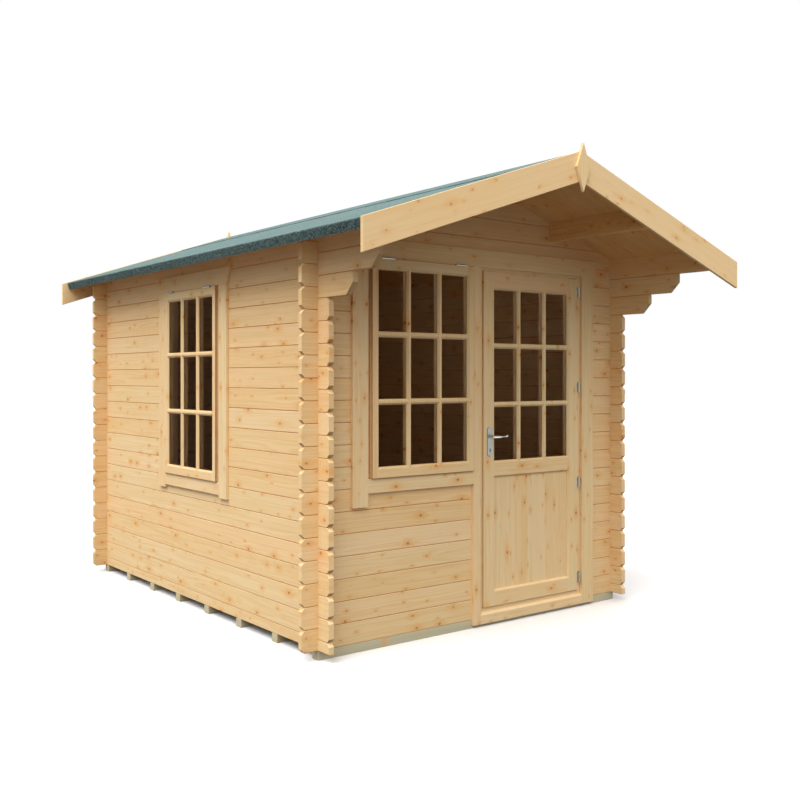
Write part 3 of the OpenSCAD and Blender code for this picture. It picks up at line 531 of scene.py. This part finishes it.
def pine(name, pale, deep, ring_share):
    """Planed pine: year rings, a tone of its own for each plank, knots, and painted shade at the joints of logs.
    """
    material, wiring, shader = new_finish(name)
    grain = wiring.attribute("grain", "Vector")
    plank = wiring.attribute("plank", "Fac")
    chance = wiring.add("ShaderNodeTexWhiteNoise", {"W": plank}, "Color", noise_dimensions="1D")
    place = wiring.vector("ADD", grain, wiring.vector("MULTIPLY", chance, TREES_APART))
    heart, glow, resin = knots(wiring, place)
    stripe = ring_stripes(wiring, grain, place, chance, glow, ring_share)
    colour = plank_tone(wiring, wiring.mix(stripe, pale, deep), place, chance)
    colour = wiring.mix(wiring.math("MULTIPLY", resin, RESIN_MOST), colour, RESIN)
    colour = wiring.mix(wiring.math("MULTIPLY", glow, GLOW_MOST), colour, KNOT_GLOW)
    colour = wiring.mix(wiring.math("MULTIPLY", heart, HEART_MOST), colour, KNOT_HEART)
    # painted shade: brown joint lines and darker slants under the log ends
    colour = painted_joint_shade(wiring, colour)
    rough = wiring.math("MULTIPLY_ADD", stripe, ROUGH_MORE, ROUGH)
    height = wiring.math("MULTIPLY_ADD", heart, 0.6, wiring.math("MULTIPLY", stripe, -0.5))
    bump = wiring.add("ShaderNodeBump", {"Strength": 0.35, "Distance": GRAIN_DEPTH, "Height": height})
    feed(wiring, shader, Base_Color=colour, Roughness=rough, Normal=bump, Specular_IOR_Level=SHINE)
    return material


joinery_pine = pine("joinery_pine", (0.868, 0.660, 0.398, 1), (0.755, 0.522, 0.272, 1), 0.34)
FINISH = {
    "log_pine": pine("log_pine", (0.865, 0.642, 0.376, 1), (0.735, 0.483, 0.236, 1), 0.36),
    "barge_pine": pine("barge_pine", (0.865, 0.64, 0.365, 1), (0.76, 0.51, 0.25, 1), 0.32),
    "joinery_pine": joinery_pine,
    "roof_pine": pine("roof_pine", (0.83, 0.550, 0.270, 1), (0.67, 0.375, 0.146, 1), 0.5),
    "floor_pine": pine("floor_pine", (0.80, 0.56, 0.30, 1), (0.64, 0.39, 0.17, 1), 0.5),
    "treated_bearer": pine("bearer_pine", (0.61, 0.575, 0.43, 1), (0.47, 0.435, 0.30, 1), 0.4),
}
print("pine finishes:", len(FINISH))

# %% [markdown]
# Every timber
#
# Each kind of timber has edges of its own: planed joinery is crisper than a bearer. The logs have chamfers
# in their solids, and the sashes and the door leaf have mouldings, so neither gets a bevel on top of them.

# %% Dress the timbers
EASE = {"log_pine": 0.0, "barge_pine": 0.002, "joinery_pine": 0.0012, "roof_pine": 0.001,
        "floor_pine": 0.001, "treated_bearer": 0.002}
MOULDED = ("front_window_sash", "side_window_sash", "door_leaf")
for node in sorted(frame["nodes"]):
    if slot_of[node] in FINISH and node != "door_panel":
        ease = 0.0 if node in MOULDED else EASE[slot_of[node]]
        timbers = dress_timber(node, FINISH[slot_of[node]], ease)
        print(node, timbers, "timbers")

# %% [markdown]
# Door panel and rebate
#
# The lower panel of the door is glued up from upright staves, each from another board. One thin box for
# each stave, with a tenth of a millimetre between them, gives each its own grain and tone. A bead of the
# same pine lies in the rebate on three sides of the leaf, so that no wind gets in; it leaves the leaf free.


# %% Glue up the panel
def planks(name, lows, highs):
    """A mesh of boxes from their low and high corners, with the grain and the tone of a plank for each."""
    lows, highs = np.asarray(lows, float), np.asarray(highs, float)
    unit = np.array([(i, j, k) for i in (0, 1) for j in (0, 1) for k in (0, 1)], float)
    points = (lows[:, None] + unit[None] * (highs - lows)[:, None]).reshape(-1, 3)
    quads = np.array([(0, 1, 3, 2), (4, 6, 7, 5), (0, 4, 5, 1), (2, 3, 7, 6), (0, 2, 6, 4), (1, 5, 7, 3)])
    faces = (quads[None] + 8 * np.arange(len(lows))[:, None, None]).reshape(-1, 4)
    mesh = bpy.data.meshes.new(name)
    mesh.from_pydata(points, [], faces.tolist())
    number = np.repeat(np.arange(len(lows)), 8)
    store(mesh, "grain", "FLOAT_VECTOR", grain_places(points, number))
    store(mesh, "plank", "FLOAT", rng.random(len(lows))[number])
    return mesh


STAVES = 7
STAVE_NARROW = 0.7
STAVE_WIDE = 1.3
STAVE_GAP = 0.0001
panel_low, panel_high = (np.array(corner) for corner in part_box("door_panel"))
shares = np.cumsum(np.concatenate([[0.0], rng.uniform(STAVE_NARROW, STAVE_WIDE, STAVES)]))
stave_x = panel_low[0] + (panel_high[0] - panel_low[0]) * shares / shares[-1]
lows = [(x + STAVE_GAP, panel_low[1], panel_low[2]) for x in stave_x[:-1]]
highs = [(x, panel_high[1], panel_high[2]) for x in stave_x[1:]]
link_piece(planks("door_panel_staves", lows, highs), "door", "joinery_pine", joinery_pine, "door_panel")
print("door panel of", STAVES, "staves")

# %% Lay beads in the rebate
LOCK_GAP = 0.007
LOCK_PLAY = 0.0025
LEAF_GAP = 0.005
LEAF_PLAY = 0.0015
HINGE_CLEAR = 0.060
BEAD_FRONT = 0.012
BEAD_DEPTH = 0.030
SLIP = 0.0002
leaf_low, leaf_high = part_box("door_leaf")
bead_y = (leaf_low.y + BEAD_FRONT, leaf_low.y + BEAD_FRONT + BEAD_DEPTH)
bead_foot = leaf_low.z - LEAF_GAP + SLIP
bead_head = leaf_high.z + LEAF_GAP - SLIP
lows = [(leaf_low.x - LOCK_GAP + SLIP, bead_y[0], bead_foot),
        (leaf_low.x, bead_y[0], leaf_high.z + LEAF_PLAY),
        (leaf_low.x, bead_y[0], bead_foot)]
highs = [(leaf_low.x - LOCK_PLAY, bead_y[1], bead_head),
         (leaf_high.x - HINGE_CLEAR, bead_y[1], bead_head),
         (leaf_high.x - HINGE_CLEAR, bead_y[1], leaf_low.z - LEAF_PLAY)]
link_piece(planks("door_rebate_beads", lows, highs), "cabin", "joinery_pine", joinery_pine)
print("rebate beads:", len(lows))

# %% [markdown]
# Painted shade round the sashes
#
# The gap round a sash shows as a dark line of shade. Here it is painted shade: four thin brown strips on
# the edges of the sash, just behind its front face. Boxes will do, as they are only a few millimetres wide.

# %% Lay the painted gap shade
GAP_SHADE_OUT = 0.0030
GAP_SHADE_BACK = 0.0025
GAP_SHADE_DEPTH = 0.006
SASHES = (("front_window_sash", 0), ("side_window_sash", 1))


def seal_rubber(name):
    """Painted shade for the gap round a sash: dull brown, with a faint random tone."""
    material, wiring, shader = new_finish(name)
    dust = wiring.noise(wiring.place(), 40.0)
    tone = wiring.mix(dust, (0.40, 0.175, 0.070, 1), (0.54, 0.260, 0.110, 1))
    feed(wiring, shader, Base_Color=tone, Roughness=0.85, Specular_IOR_Level=0.1)
    return material


def gap_shade_strips(node, across):
    """Low and high corners of four strips round a sash: two uprights beside it, then two rails that also
    pass the uprights' ends. The sash is as wide as its box on the axis across, and faces down the other
    level one."""
    low, high = (np.array(corner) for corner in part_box(node))
    depth = 1 - across
    strips = []
    for axis in (across, 2):
        below = (low[axis] - GAP_SHADE_OUT, low[axis] - SLIP)
        above = (high[axis] + SLIP, high[axis] + GAP_SHADE_OUT)
        for ends in (below, above):
            strip = np.array([low, high])
            strip[:, depth] = low[depth] + GAP_SHADE_BACK + np.array([0, GAP_SHADE_DEPTH])
            strip[:, across] += np.array([-GAP_SHADE_OUT, GAP_SHADE_OUT]) * (axis == 2)
            strip[:, axis] = ends
            strips.append(strip)
    return np.array(strips)


# painted shade: brown strips round each sash stand for the shade in the gap
gap_shade_finish = seal_rubber("seal_rubber")
for node, across in SASHES:
    strips = gap_shade_strips(node, across)
    link_piece(planks(node + "_seal", strips[:, 0], strips[:, 1]), "cabin", "joinery_pine", gap_shade_finish)
print("painted gap shade round", len(SASHES), "sashes")

# %% [markdown]
# Roofing felt
#
# Mineral felt is a bitumen sheet under crushed slate. From a distance it is one grey-green, near by it is
# a crowd of light and dark grains. A Voronoi pattern at the size of the grains gives each of them its own
# tone. Where a sheet is folded over the eaves its grains part, so more of the dark bitumen shows: an
# attribute on the mesh says how far round the fold a point lies, and the finish darkens with it.

# %% Paint felt
GRAIN_SIZE = 0.0052
GRAIN_HEIGHT = 0.0012
SLATE_DARK = (0.076, 0.124, 0.120, 1)
SLATE_LIGHT = (0.168, 0.250, 0.243, 1)
FOLD_DARK = (0.021, 0.038, 0.036, 1)
FOLD_LIGHT = (0.140, 0.208, 0.200, 1)


def mineral_felt(name):
    """Crushed slate on bitumen: a random tone for each grain that drifts over the sheet and falls round
    the fold."""
    material, wiring, shader = new_finish(name)
    place = wiring.place()
    fold = wiring.attribute("fold", "Fac")
    grains = wiring.add("ShaderNodeTexVoronoi", {"Vector": place, "Scale": 1 / GRAIN_SIZE}).node
    tone = wiring.parts(grains.outputs["Color"])[0]
    drift = wiring.noise(place, 3.0, 3.0)
    patch = wiring.noise(place, 55.0, 2.0)
    light = wiring.math("MULTIPLY_ADD", drift, 0.30, wiring.math("MULTIPLY", tone, 0.55))
    light = wiring.math("MULTIPLY_ADD", patch, 0.20, light)
    sheet = wiring.mix(wiring.step(light, 0.1, 0.9), SLATE_DARK, SLATE_LIGHT)
    bare = wiring.mix(wiring.step(light, 0.3, 0.88), FOLD_DARK, FOLD_LIGHT)
    colour = wiring.mix(fold, sheet, bare)
    bump = wiring.add("ShaderNodeBump", {"Strength": 0.6, "Distance": GRAIN_HEIGHT, "Height": tone})
    feed(wiring, shader, Base_Color=colour, Roughness=0.92, Normal=bump, Specular_IOR_Level=0.25)
    return material


felt = mineral_felt("mineral_felt")
print("felt grains of", GRAIN_SIZE, "m")

# %% [markdown]
# Felt sheets
#
# Each sheet is a section carried along the roof. The section is drawn on the slope: a distance down from
# the ridge and a height above the boards. Felt can't turn a sharp corner, so the fold at the eaves is an
# arc and the sheet on the ridge bends in a soft curve. Small waves keep the sheets from looking like metal.

# %% Carry a section along the roof
PITCH = math.radians(18.9)
SEAT = 0.0002
RIDGE_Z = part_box("ridge_purlin")[1].z + SEAT
ROOF_STEPS = 65
roof_y0, roof_y1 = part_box("roof_felt_right")[0].y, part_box("roof_felt_right")[1].y
steps = np.linspace(roof_y0, roof_y1, ROOF_STEPS)


def on_slope(down, up):
    """Section place, x and z, of points a distance down the right slope and up square to it."""
    x = down * math.cos(PITCH) + up * math.sin(PITCH)
    z = RIDGE_Z - down * math.sin(PITCH) + up * math.cos(PITCH)
    return np.stack([x, z], axis=-1)


def along_roof(section, sign):
    """Rings of points from one section in x and z for each step along the roof; sign -1 mirrors them."""
    along = np.broadcast_to(steps[:, None], section.shape[:2])
    return np.stack([sign * section[..., 0], along, section[..., 1]], axis=-1)


def waver(slow, fast, late):
    """Two sine waves along the roof, set down so that their sum never rises above 0."""
    return np.sin(steps * slow) + np.sin(steps * fast + late) - 2


def ring_faces(rows, around):
    """Quads between neighbouring rows of a grid whose rows close on themselves."""
    row, column = np.meshgrid(np.arange(rows - 1), np.arange(around), indexing="ij")
    here = row * around + column
    beside = row * around + (column + 1) % around
    return np.stack([here, here + around, beside + around, beside], axis=-1).reshape(-1, 4)


def closed_mesh(name, rings, **layers):
    """A mesh from a grid of closed rings, with a cap on the first and the last ring. Faces turn outwards
    when the volume that they enclose comes out positive, and are turned round when it does not."""
    rows, around = rings.shape[:2]
    points = rings.reshape(-1, 3)
    quads = ring_faces(rows, around)
    a, b, c, d = (points[quads[:, k]] for k in range(4))
    volume = np.einsum("ij,ij->i", a, np.cross(b, c) + np.cross(c, d)).sum()
    caps = [list(range(around)), list(range(rows * around - 1, (rows - 1) * around - 1, -1))]
    faces = quads.tolist() + caps
    if volume < 0:
        faces = [face[::-1] for face in faces]
    mesh = bpy.data.meshes.new(name)
    mesh.from_pydata(points, [], faces)
    for layer, values in layers.items():
        store(mesh, layer, "FLOAT", np.broadcast_to(values, rings.shape[:2]))
    return mesh


def smooth_mesh(mesh, degrees):
    """Smooth shading, with edges sharper than an angle kept sharp."""
    mesh.shade_smooth()
    mesh.set_sharp_from_angle(angle=math.radians(degrees))
    return mesh


print("sections carried in", ROOF_STEPS, "steps from", round(roof_y0, 3), "to", round(roof_y1, 3))

# %% Lay the sheets of the slopes
BOARD_T = 0.027
FELT_T = 0.003
SHEET_TOP = BOARD_T + SEAT + FELT_T
SHEET_START = 0.012
EAVE_DROP = 0.020
FOLD_R = 0.009
WAVE = 0.0009
FELT_SHARP = 50
RUN_POINTS = 15
ARC_POINTS = 9
DROP_POINTS = 5
FOLD_FROM = 0.9
FOLD_OVER = 0.8
boards_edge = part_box("roof_boards_right")[1].x
EAVE_S = (boards_edge - BOARD_T * math.sin(PITCH)) / math.cos(PITCH) + SEAT + FELT_T

arc = np.linspace(0, math.pi / 2, ARC_POINTS)[1:]
run = np.linspace(SHEET_START, EAVE_S - FOLD_R, RUN_POINTS)
drop = np.linspace(SHEET_TOP - FOLD_R, -EAVE_DROP, DROP_POINTS)[1:]
outer_down = np.concatenate([run, EAVE_S - FOLD_R + FOLD_R * np.sin(arc), np.full_like(drop, EAVE_S)])
outer_up = np.concatenate([np.full_like(run, SHEET_TOP), SHEET_TOP - FOLD_R + FOLD_R * np.cos(arc), drop])
inner_down = np.minimum(outer_down, EAVE_S - FELT_T)[::-1]
inner_up = np.minimum(outer_up, SHEET_TOP - FELT_T)[::-1]
sheet_down = np.concatenate([outer_down, inner_down])
sheet_up = np.concatenate([outer_up, inner_up])
fold_share = np.clip((sheet_down - (EAVE_S - FOLD_FROM * FOLD_R)) / (FOLD_OVER * FOLD_R), 0, 1)
wave = WAVE * waver(9.1, 23.7, 1.0) / 2
outside = np.concatenate([np.ones(len(outer_down)), np.zeros(len(inner_down))])
section = on_slope(sheet_down[None, :], sheet_up[None, :] + wave[:, None] * outside[None, :])
SLOPES = (("right", 1), ("left", -1))
for side, sign in SLOPES:
    mesh = closed_mesh("roof_felt_" + side + "_sheet", along_roof(section, sign), fold=fold_share)
    link_piece(smooth_mesh(mesh, FELT_SHARP), "cabin", "roof_felt", felt, "roof_felt_" + side)
print("felt sheets reach", round(EAVE_S, 4), "m down the slope")

# %% Bend the ridge sheet
RIDGE_SHEET = 0.450
RIDGE_BEND = 0.008
RAGGED = 0.0014
RIDGE_POINTS = 41
lap_top = SHEET_TOP + SEAT + FELT_T
peak_outer = RIDGE_Z + lap_top / math.cos(PITCH)
peak_inner = RIDGE_Z + (lap_top - FELT_T) / math.cos(PITCH)
edge_x = on_slope(np.array(RIDGE_SHEET), np.array(lap_top))[0]
spread = np.sin(np.linspace(-math.pi / 2, math.pi / 2, RIDGE_POINTS))
ragged = RAGGED * waver(31.0, 74.0, 2.0)
across = spread[None, :] * (edge_x + ragged[:, None])
fall = math.tan(PITCH) * np.sqrt(across ** 2 + RIDGE_BEND ** 2)
ring_x = np.concatenate([across, across[:, ::-1]], axis=1)
ring_z = np.concatenate([peak_outer - fall, (peak_inner - fall)[:, ::-1]], axis=1)
mesh = closed_mesh("ridge_felt_sheet", along_roof(np.stack([ring_x, ring_z], axis=-1), 1), fold=0.0)
link_piece(smooth_mesh(mesh, FELT_SHARP), "cabin", "roof_felt", felt, "ridge_felt")
print("ridge sheet", round(2 * edge_x, 3), "m across")

# %% [markdown]
# Glass and steel
#
# Float glass hardly mirrors a dim studio from the front, and the room behind it is dark and brown, so the
# panes look like dark tea. A low index keeps the mirror weak, and a tint stands for the two faces and the
# dust, and partly for shade: the pane in the side wall has the deeper tint, painted shade that darkens the
# room seen through it. The ironware is brushed steel, with fine upright scratches that change both its tone
# and its shine.

# %% Paint glass and steel
GLASS_IOR = 1.025
SCRATCH_SCALE = (900, 900, 60)
STEEL_EDGE_TINT = (0.55, 0.55, 0.55, 1)


def window_glass(name, tint):
    """Panes that let light through with a tint and mirror a little of the studio, more at a low angle."""
    material, wiring, shader = new_finish(name)
    feed(wiring, shader, Base_Color=tint, Roughness=0.0, IOR=GLASS_IOR, Transmission_Weight=1.0)
    return material


def brushed_steel(name, dark, light):
    """Steel with fine scratches that change its tone and its shine, so that it mirrors softly."""
    material, wiring, shader = new_finish(name)
    scratch = wiring.noise(wiring.vector("MULTIPLY", wiring.place(), SCRATCH_SCALE), 1.0, 2.0)
    colour = wiring.mix(scratch, dark, light)
    rough = wiring.step(scratch, 0.2, 0.8, 0.26, 0.42)
    feed(wiring, shader, Base_Color=colour, Roughness=rough, Metallic=1.0, Specular_Tint=STEEL_EDGE_TINT)
    return material


# painted shade: the side pane's deeper tint darkens the room seen through it
front_glass = window_glass("front_glass", (0.62, 0.585, 0.575, 1))
side_glass = window_glass("side_glass", (0.44, 0.398, 0.355, 1))
satin_steel = brushed_steel("satin_steel", (0.20, 0.212, 0.204, 1), (0.33, 0.34, 0.322, 1))
bright_steel = brushed_steel("bright_steel", (0.46, 0.46, 0.44, 1), (0.66, 0.65, 0.62, 1))
PANES = {"front_window_glass": front_glass, "door_glass": front_glass, "side_window_glass": side_glass}
for node, glass in PANES.items():
    pane = frame["nodes"][node].data
    pane.materials.clear()
    pane.materials.append(glass)
print("panes:", len(PANES))

# %% [markdown]
# Bitumen and clout nails
#
# The lap is stuck with cold bitumen, of which a little is pressed out along the edge, and held by rows of
# clout nails with broad flat heads. A bead is a small ring carried along the edge; its dark line is partly
# painted shadow, for the shade under the lap's edge. All nail heads are one dome, copied to its places by
# adding one array of places to one array of points.


# %% Lay the bitumen bead
def bitumen(name):
    """Black tar, a little glossy, uneven where it was pressed out. Its dark line along the lap is partly painted
    shadow of the lap's edge.
    """
    material, wiring, shader = new_finish(name)
    blot = wiring.noise(wiring.place(), 60.0, 3.0)
    colour = wiring.mix(wiring.step(blot, 0.3, 0.7), (0.028, 0.038, 0.037, 1), (0.085, 0.120, 0.115, 1))
    feed(wiring, shader, Base_Color=colour, Roughness=wiring.step(blot, 0.3, 0.7, 0.4, 0.8))
    return material


def circle(sides):
    """Angles of a ring's points."""
    return np.arange(sides) * 2 * math.pi / sides


BEAD_R = 0.0026
BEAD_WIDE = 1.2
BEAD_HIGH = 0.8
BEAD_INSET = 0.002
BEAD_SIDES = 8
SWELL_RATE = 57.0
# partly painted shadow: the dark bead also marks the shade under the lap's edge
tar = bitumen("cold_bitumen")
turn = circle(BEAD_SIDES)
for side, sign in SLOPES:
    swell = BEAD_R * (0.75 + 0.25 * np.sin(steps * SWELL_RATE + sign))
    bead_down = RIDGE_SHEET - BEAD_INSET + BEAD_WIDE * swell[:, None] * np.cos(turn)[None, :]
    bead_up = SHEET_TOP + SEAT + BEAD_HIGH * swell[:, None] * np.sin(turn)[None, :]
    mesh = closed_mesh("lap_bitumen_" + side, along_roof(on_slope(bead_down, bead_up), sign))
    link_piece(smooth_mesh(mesh, 60), "cabin", "roof_felt", tar)
print("bitumen beads:", len(SLOPES))


# %% Drive the clout nails
def domes(places, out, turn, radius, height, sides):
    """Low domes on a surface: two rings and a tip, with their axis out of the surface. A ring's points are
    the place plus radius times cosine and sine along two axes in the surface, plus its height outwards."""
    out = np.asarray(out, float) / np.linalg.norm(out)
    first = np.cross(out, turn)
    first = first / np.linalg.norm(first)
    second = np.cross(out, first)
    angle = circle(sides)
    ring = np.cos(angle)[:, None] * first + np.sin(angle)[:, None] * second
    shoulder = 0.72 * radius * ring + 0.8 * height * out
    dome = np.concatenate([radius * ring, shoulder, height * out[None, :]])
    points = (np.asarray(places)[:, None, :] + dome[None, :, :]).reshape(-1, 3)
    k = np.arange(sides)
    after = (k + 1) % sides
    skirt = np.stack([k, after, sides + after, sides + k], axis=1)
    cap = np.stack([sides + k, sides + after, np.full(sides, 2 * sides)], axis=1)
    shift = np.arange(len(places)) * (2 * sides + 1)
    quads = (skirt[None] + shift[:, None, None]).reshape(-1, 4).tolist()
    tips = (cap[None] + shift[:, None, None]).reshape(-1, 3).tolist()
    under = (k[::-1][None] + shift[:, None]).tolist()
    return points, quads + tips + under


def gather(name, groups):
    """One mesh from several groups of points and faces."""
    points, faces, count = [], [], 0
    for group_points, group_faces in groups:
        points.append(group_points)
        faces += [[corner + count for corner in face] for face in group_faces]
        count += len(group_points)
    mesh = bpy.data.meshes.new(name)
    mesh.from_pydata(np.concatenate(points), [], faces)
    return mesh


NAIL_R = 0.0055
NAIL_H = 0.0016
NAIL_SINK = 0.0004
NAIL_INSET = 0.028
NAIL_STEP = 0.075
NAIL_FIRST = 0.03
NAIL_LAST = 0.02
NAIL_STRAY = 0.004
STRAY_RATE = 91.0
NAIL_SIDES = 8
nail_y = np.arange(roof_y0 + NAIL_FIRST, roof_y1 - NAIL_LAST, NAIL_STEP)
nail_stray = NAIL_STRAY * np.sin(nail_y * STRAY_RATE)
nail_x, nail_z = on_slope(np.array(RIDGE_SHEET - NAIL_INSET), np.array(lap_top - NAIL_SINK))
nail_groups = []
for side, sign in SLOPES:
    places = np.stack([np.full_like(nail_y, sign * nail_x), nail_y + nail_stray,
                       np.full_like(nail_y, nail_z)], axis=1)
    up = (sign * math.sin(PITCH), 0, math.cos(PITCH))
    nail_groups.append(domes(places, up, (0, 1, 0), NAIL_R, NAIL_H, NAIL_SIDES))
link_piece(smooth_mesh(gather("clout_nails", nail_groups), 50), "cabin", "roof_felt", satin_steel)
print("clout nails:", len(SLOPES) * len(nail_y))

# %% [markdown]
# Hardware
#
# The hinges and handle plates keep the shape of their solids, with welded corners and smooth barrels.
# The lever is drawn anew: one round bar runs from the outer tip through the leaf to the inner tip, thick at
# its root, full near the middle, slim before the curled tip. A turned solid couldn't bend, so a ring is
# carried along a curved path with a radius of its own at each point.

# %% Smooth the steel pieces
STEEL_NODES = ("front_window_hinges", "side_window_hinges", "door_hinge_frame_halves",
               "door_hinge_leaf_halves", "door_handle_plates")
for node in STEEL_NODES:
    corners, triangles = welded(node)
    mesh = bpy.data.meshes.new(node + "_steel")
    mesh.from_pydata(corners, [], triangles)
    link_piece(smooth_mesh(mesh, 35), body_of[node], "steel", satin_steel, node)
print("steel pieces smoothed:", len(STEEL_NODES))


# %% Bend a round bar
def smooth_path(points, count):
    """Points along a curve through the given ones: between two of them a cubic with the slope of the line
    from the point before to the point after."""
    points = np.asarray(points, float)
    padded = np.concatenate([2 * points[:1] - points[1:2], points, 2 * points[-1:] - points[-2:-1]])
    at = np.linspace(0, len(points) - 1, count)
    k = np.minimum(at.astype(int), len(points) - 2)
    t = (at - k)[:, None]
    p0, p1, p2, p3 = (padded[k + j] for j in range(4))
    return 0.5 * (2 * p1 + (p2 - p0) * t + (2 * p0 - 5 * p1 + 4 * p2 - p3) * t ** 2
                  + (3 * p1 - p0 - 3 * p2 + p3) * t ** 3)


def round_bar(name, path, radii, sides):
    """A ring round every point of a path, in the plane square to it, with a radius of its own."""
    ahead = np.gradient(path, axis=0)
    ahead = ahead / np.linalg.norm(ahead, axis=1)[:, None]
    level = np.cross(ahead, (0.0, 0.0, 1.0))
    level = level / np.linalg.norm(level, axis=1)[:, None]
    rise = np.cross(level, ahead)
    angle = circle(sides)[None, :, None]
    around = np.cos(angle) * level[:, None, :] + np.sin(angle) * rise[:, None, :]
    return closed_mesh(name, path[:, None, :] + radii[:, None, None] * around)


print("bar helpers ready")

# %% Draw the lever
SPINDLE = next(joint["pos_m"] for joint in frame["joints"] if joint["name"] == "lever_turn")
LEAF_HALF = 0.020
PLATE_T = 0.0052
PLATE_FACE = LEAF_HALF + PLATE_T
LEVER_POINTS = 97
LEVER_SIDES = 20
LEVER_THINNEST = 0.0015
# along the lever, out from the plate, up, radius: from the spindle to the tip
half_lever = np.array([
    (0.0, -0.020, 0.0, 0.0050), (0.0, -0.004, 0.0, 0.0050), (0.0, 0.000, 0.0, 0.0088),
    (0.0, 0.010, 0.0, 0.0088), (0.0, 0.020, 0.0, 0.0086), (0.002, 0.031, 0.0, 0.0086),
    (0.010, 0.039, 0.0, 0.0082), (0.022, 0.041, 0.0, 0.0078), (0.036, 0.041, -0.0008, 0.0074),
    (0.044, 0.041, -0.0012, 0.0062), (0.051, 0.041, -0.0010, 0.0038), (0.060, 0.041, -0.0004, 0.0028),
    (0.074, 0.041, 0.0, 0.0026), (0.083, 0.041, 0.0004, 0.0034), (0.090, 0.041, 0.0016, 0.0054),
    (0.0955, 0.041, 0.0034, 0.0062), (0.0992, 0.041, 0.0052, 0.0048), (0.1008, 0.041, 0.0064, 0.0020)])
spine = smooth_path(half_lever, LEVER_POINTS)
spine[:, 3] = np.maximum(spine[:, 3], LEVER_THINNEST)
reach = PLATE_FACE + spine[:, 1]
outer_bar = np.stack([SPINDLE[0] + spine[:, 0], SPINDLE[1] - reach, SPINDLE[2] + spine[:, 2]], axis=1)
inner_bar = np.stack([SPINDLE[0] + spine[:, 0], SPINDLE[1] + reach, SPINDLE[2] + spine[:, 2]], axis=1)
lever_path = np.concatenate([outer_bar[::-1], inner_bar])
lever_radii = np.concatenate([spine[::-1, 3], spine[:, 3]])
lever_mesh = smooth_mesh(round_bar("door_lever_bar", lever_path, lever_radii, LEVER_SIDES), 60)
link_piece(lever_mesh, "lever", "steel", bright_steel, "door_lever")
print("lever", len(lever_mesh.vertices), "corners")

# %% [markdown]
# Screws and keyholes
#
# Each plate is held by three screws with low round heads, for which the nails' dome serves again. A keyhole
# looks black because little light comes out of it. A dull black plug of the keyhole's outline, a few
# millimetres behind the face of the plate, does the same in any light.

# %% Fit the plate screws
SCREW_R = 0.0036
SCREW_H = 0.0012
SCREW_RISE = np.array([0.045, -0.030, -0.102])
SCREW_SIDES = 12
FACES = (-1, 1)
screws = []
for face in FACES:
    places = np.stack([np.full_like(SCREW_RISE, SPINDLE[0]),
                       np.full_like(SCREW_RISE, SPINDLE[1] + face * PLATE_FACE),
                       SPINDLE[2] + SCREW_RISE], axis=1)
    screws.append(domes(places, (0, face, 0), (0, 0, 1), SCREW_R, SCREW_H, SCREW_SIDES))
link_piece(smooth_mesh(gather("plate_screws", screws), 50), "door", "steel", satin_steel)
print("plate screws:", len(FACES) * len(SCREW_RISE))

# %% Shade the keyholes
KEY_DROP = 0.072
KEY_R = 0.0042
KEY_SIDES = 16
KEY_FOOT_HALF = 0.0028
KEY_FOOT_TOP = -0.004
KEY_FOOT_END = -0.016
KEY_DEPTH = np.array([0.0003, 0.0040])
key_turn = circle(KEY_SIDES)
key_top = KEY_R * np.stack([np.sin(key_turn), np.cos(key_turn)], axis=1)
key_foot = np.array([(-KEY_FOOT_HALF, KEY_FOOT_TOP), (KEY_FOOT_HALF, KEY_FOOT_TOP),
                     (KEY_FOOT_HALF, KEY_FOOT_END), (-KEY_FOOT_HALF, KEY_FOOT_END)])


def key_plug(outline, face):
    """A prism of a clockwise outline round the keyhole's middle, between two depths behind a plate."""
    count = len(outline)
    key_z = SPINDLE[2] - KEY_DROP
    flat = np.stack([SPINDLE[0] + outline[:, 0], np.zeros(count), key_z + outline[:, 1]], axis=1)
    depths = np.sort(SPINDLE[1] + face * (LEAF_HALF + KEY_DEPTH))
    rings = np.stack([flat + (0, y, 0) for y in depths])
    ends = [list(range(count - 1, -1, -1)), list(range(count, 2 * count))]
    return rings.reshape(-1, 3), ring_faces(2, count)[:, ::-1].tolist() + ends


# painted shade: a dull black plug stands for the shade inside each keyhole
dark, wiring, shader = new_finish("keyhole_shade")
shade_speckle = wiring.noise(wiring.place(), 900.0)
painted_shade_tone = wiring.mix(shade_speckle, (0.004, 0.004, 0.004, 1), (0.014, 0.014, 0.013, 1))
feed(wiring, shader, Base_Color=painted_shade_tone, Roughness=0.9, Specular_IOR_Level=0.0)
key_groups = [key_plug(outline, face) for face in FACES for outline in (key_top, key_foot)]
link_piece(gather("keyhole_shades", key_groups), "door", "steel", dark)
print("keyholes:", len(FACES))
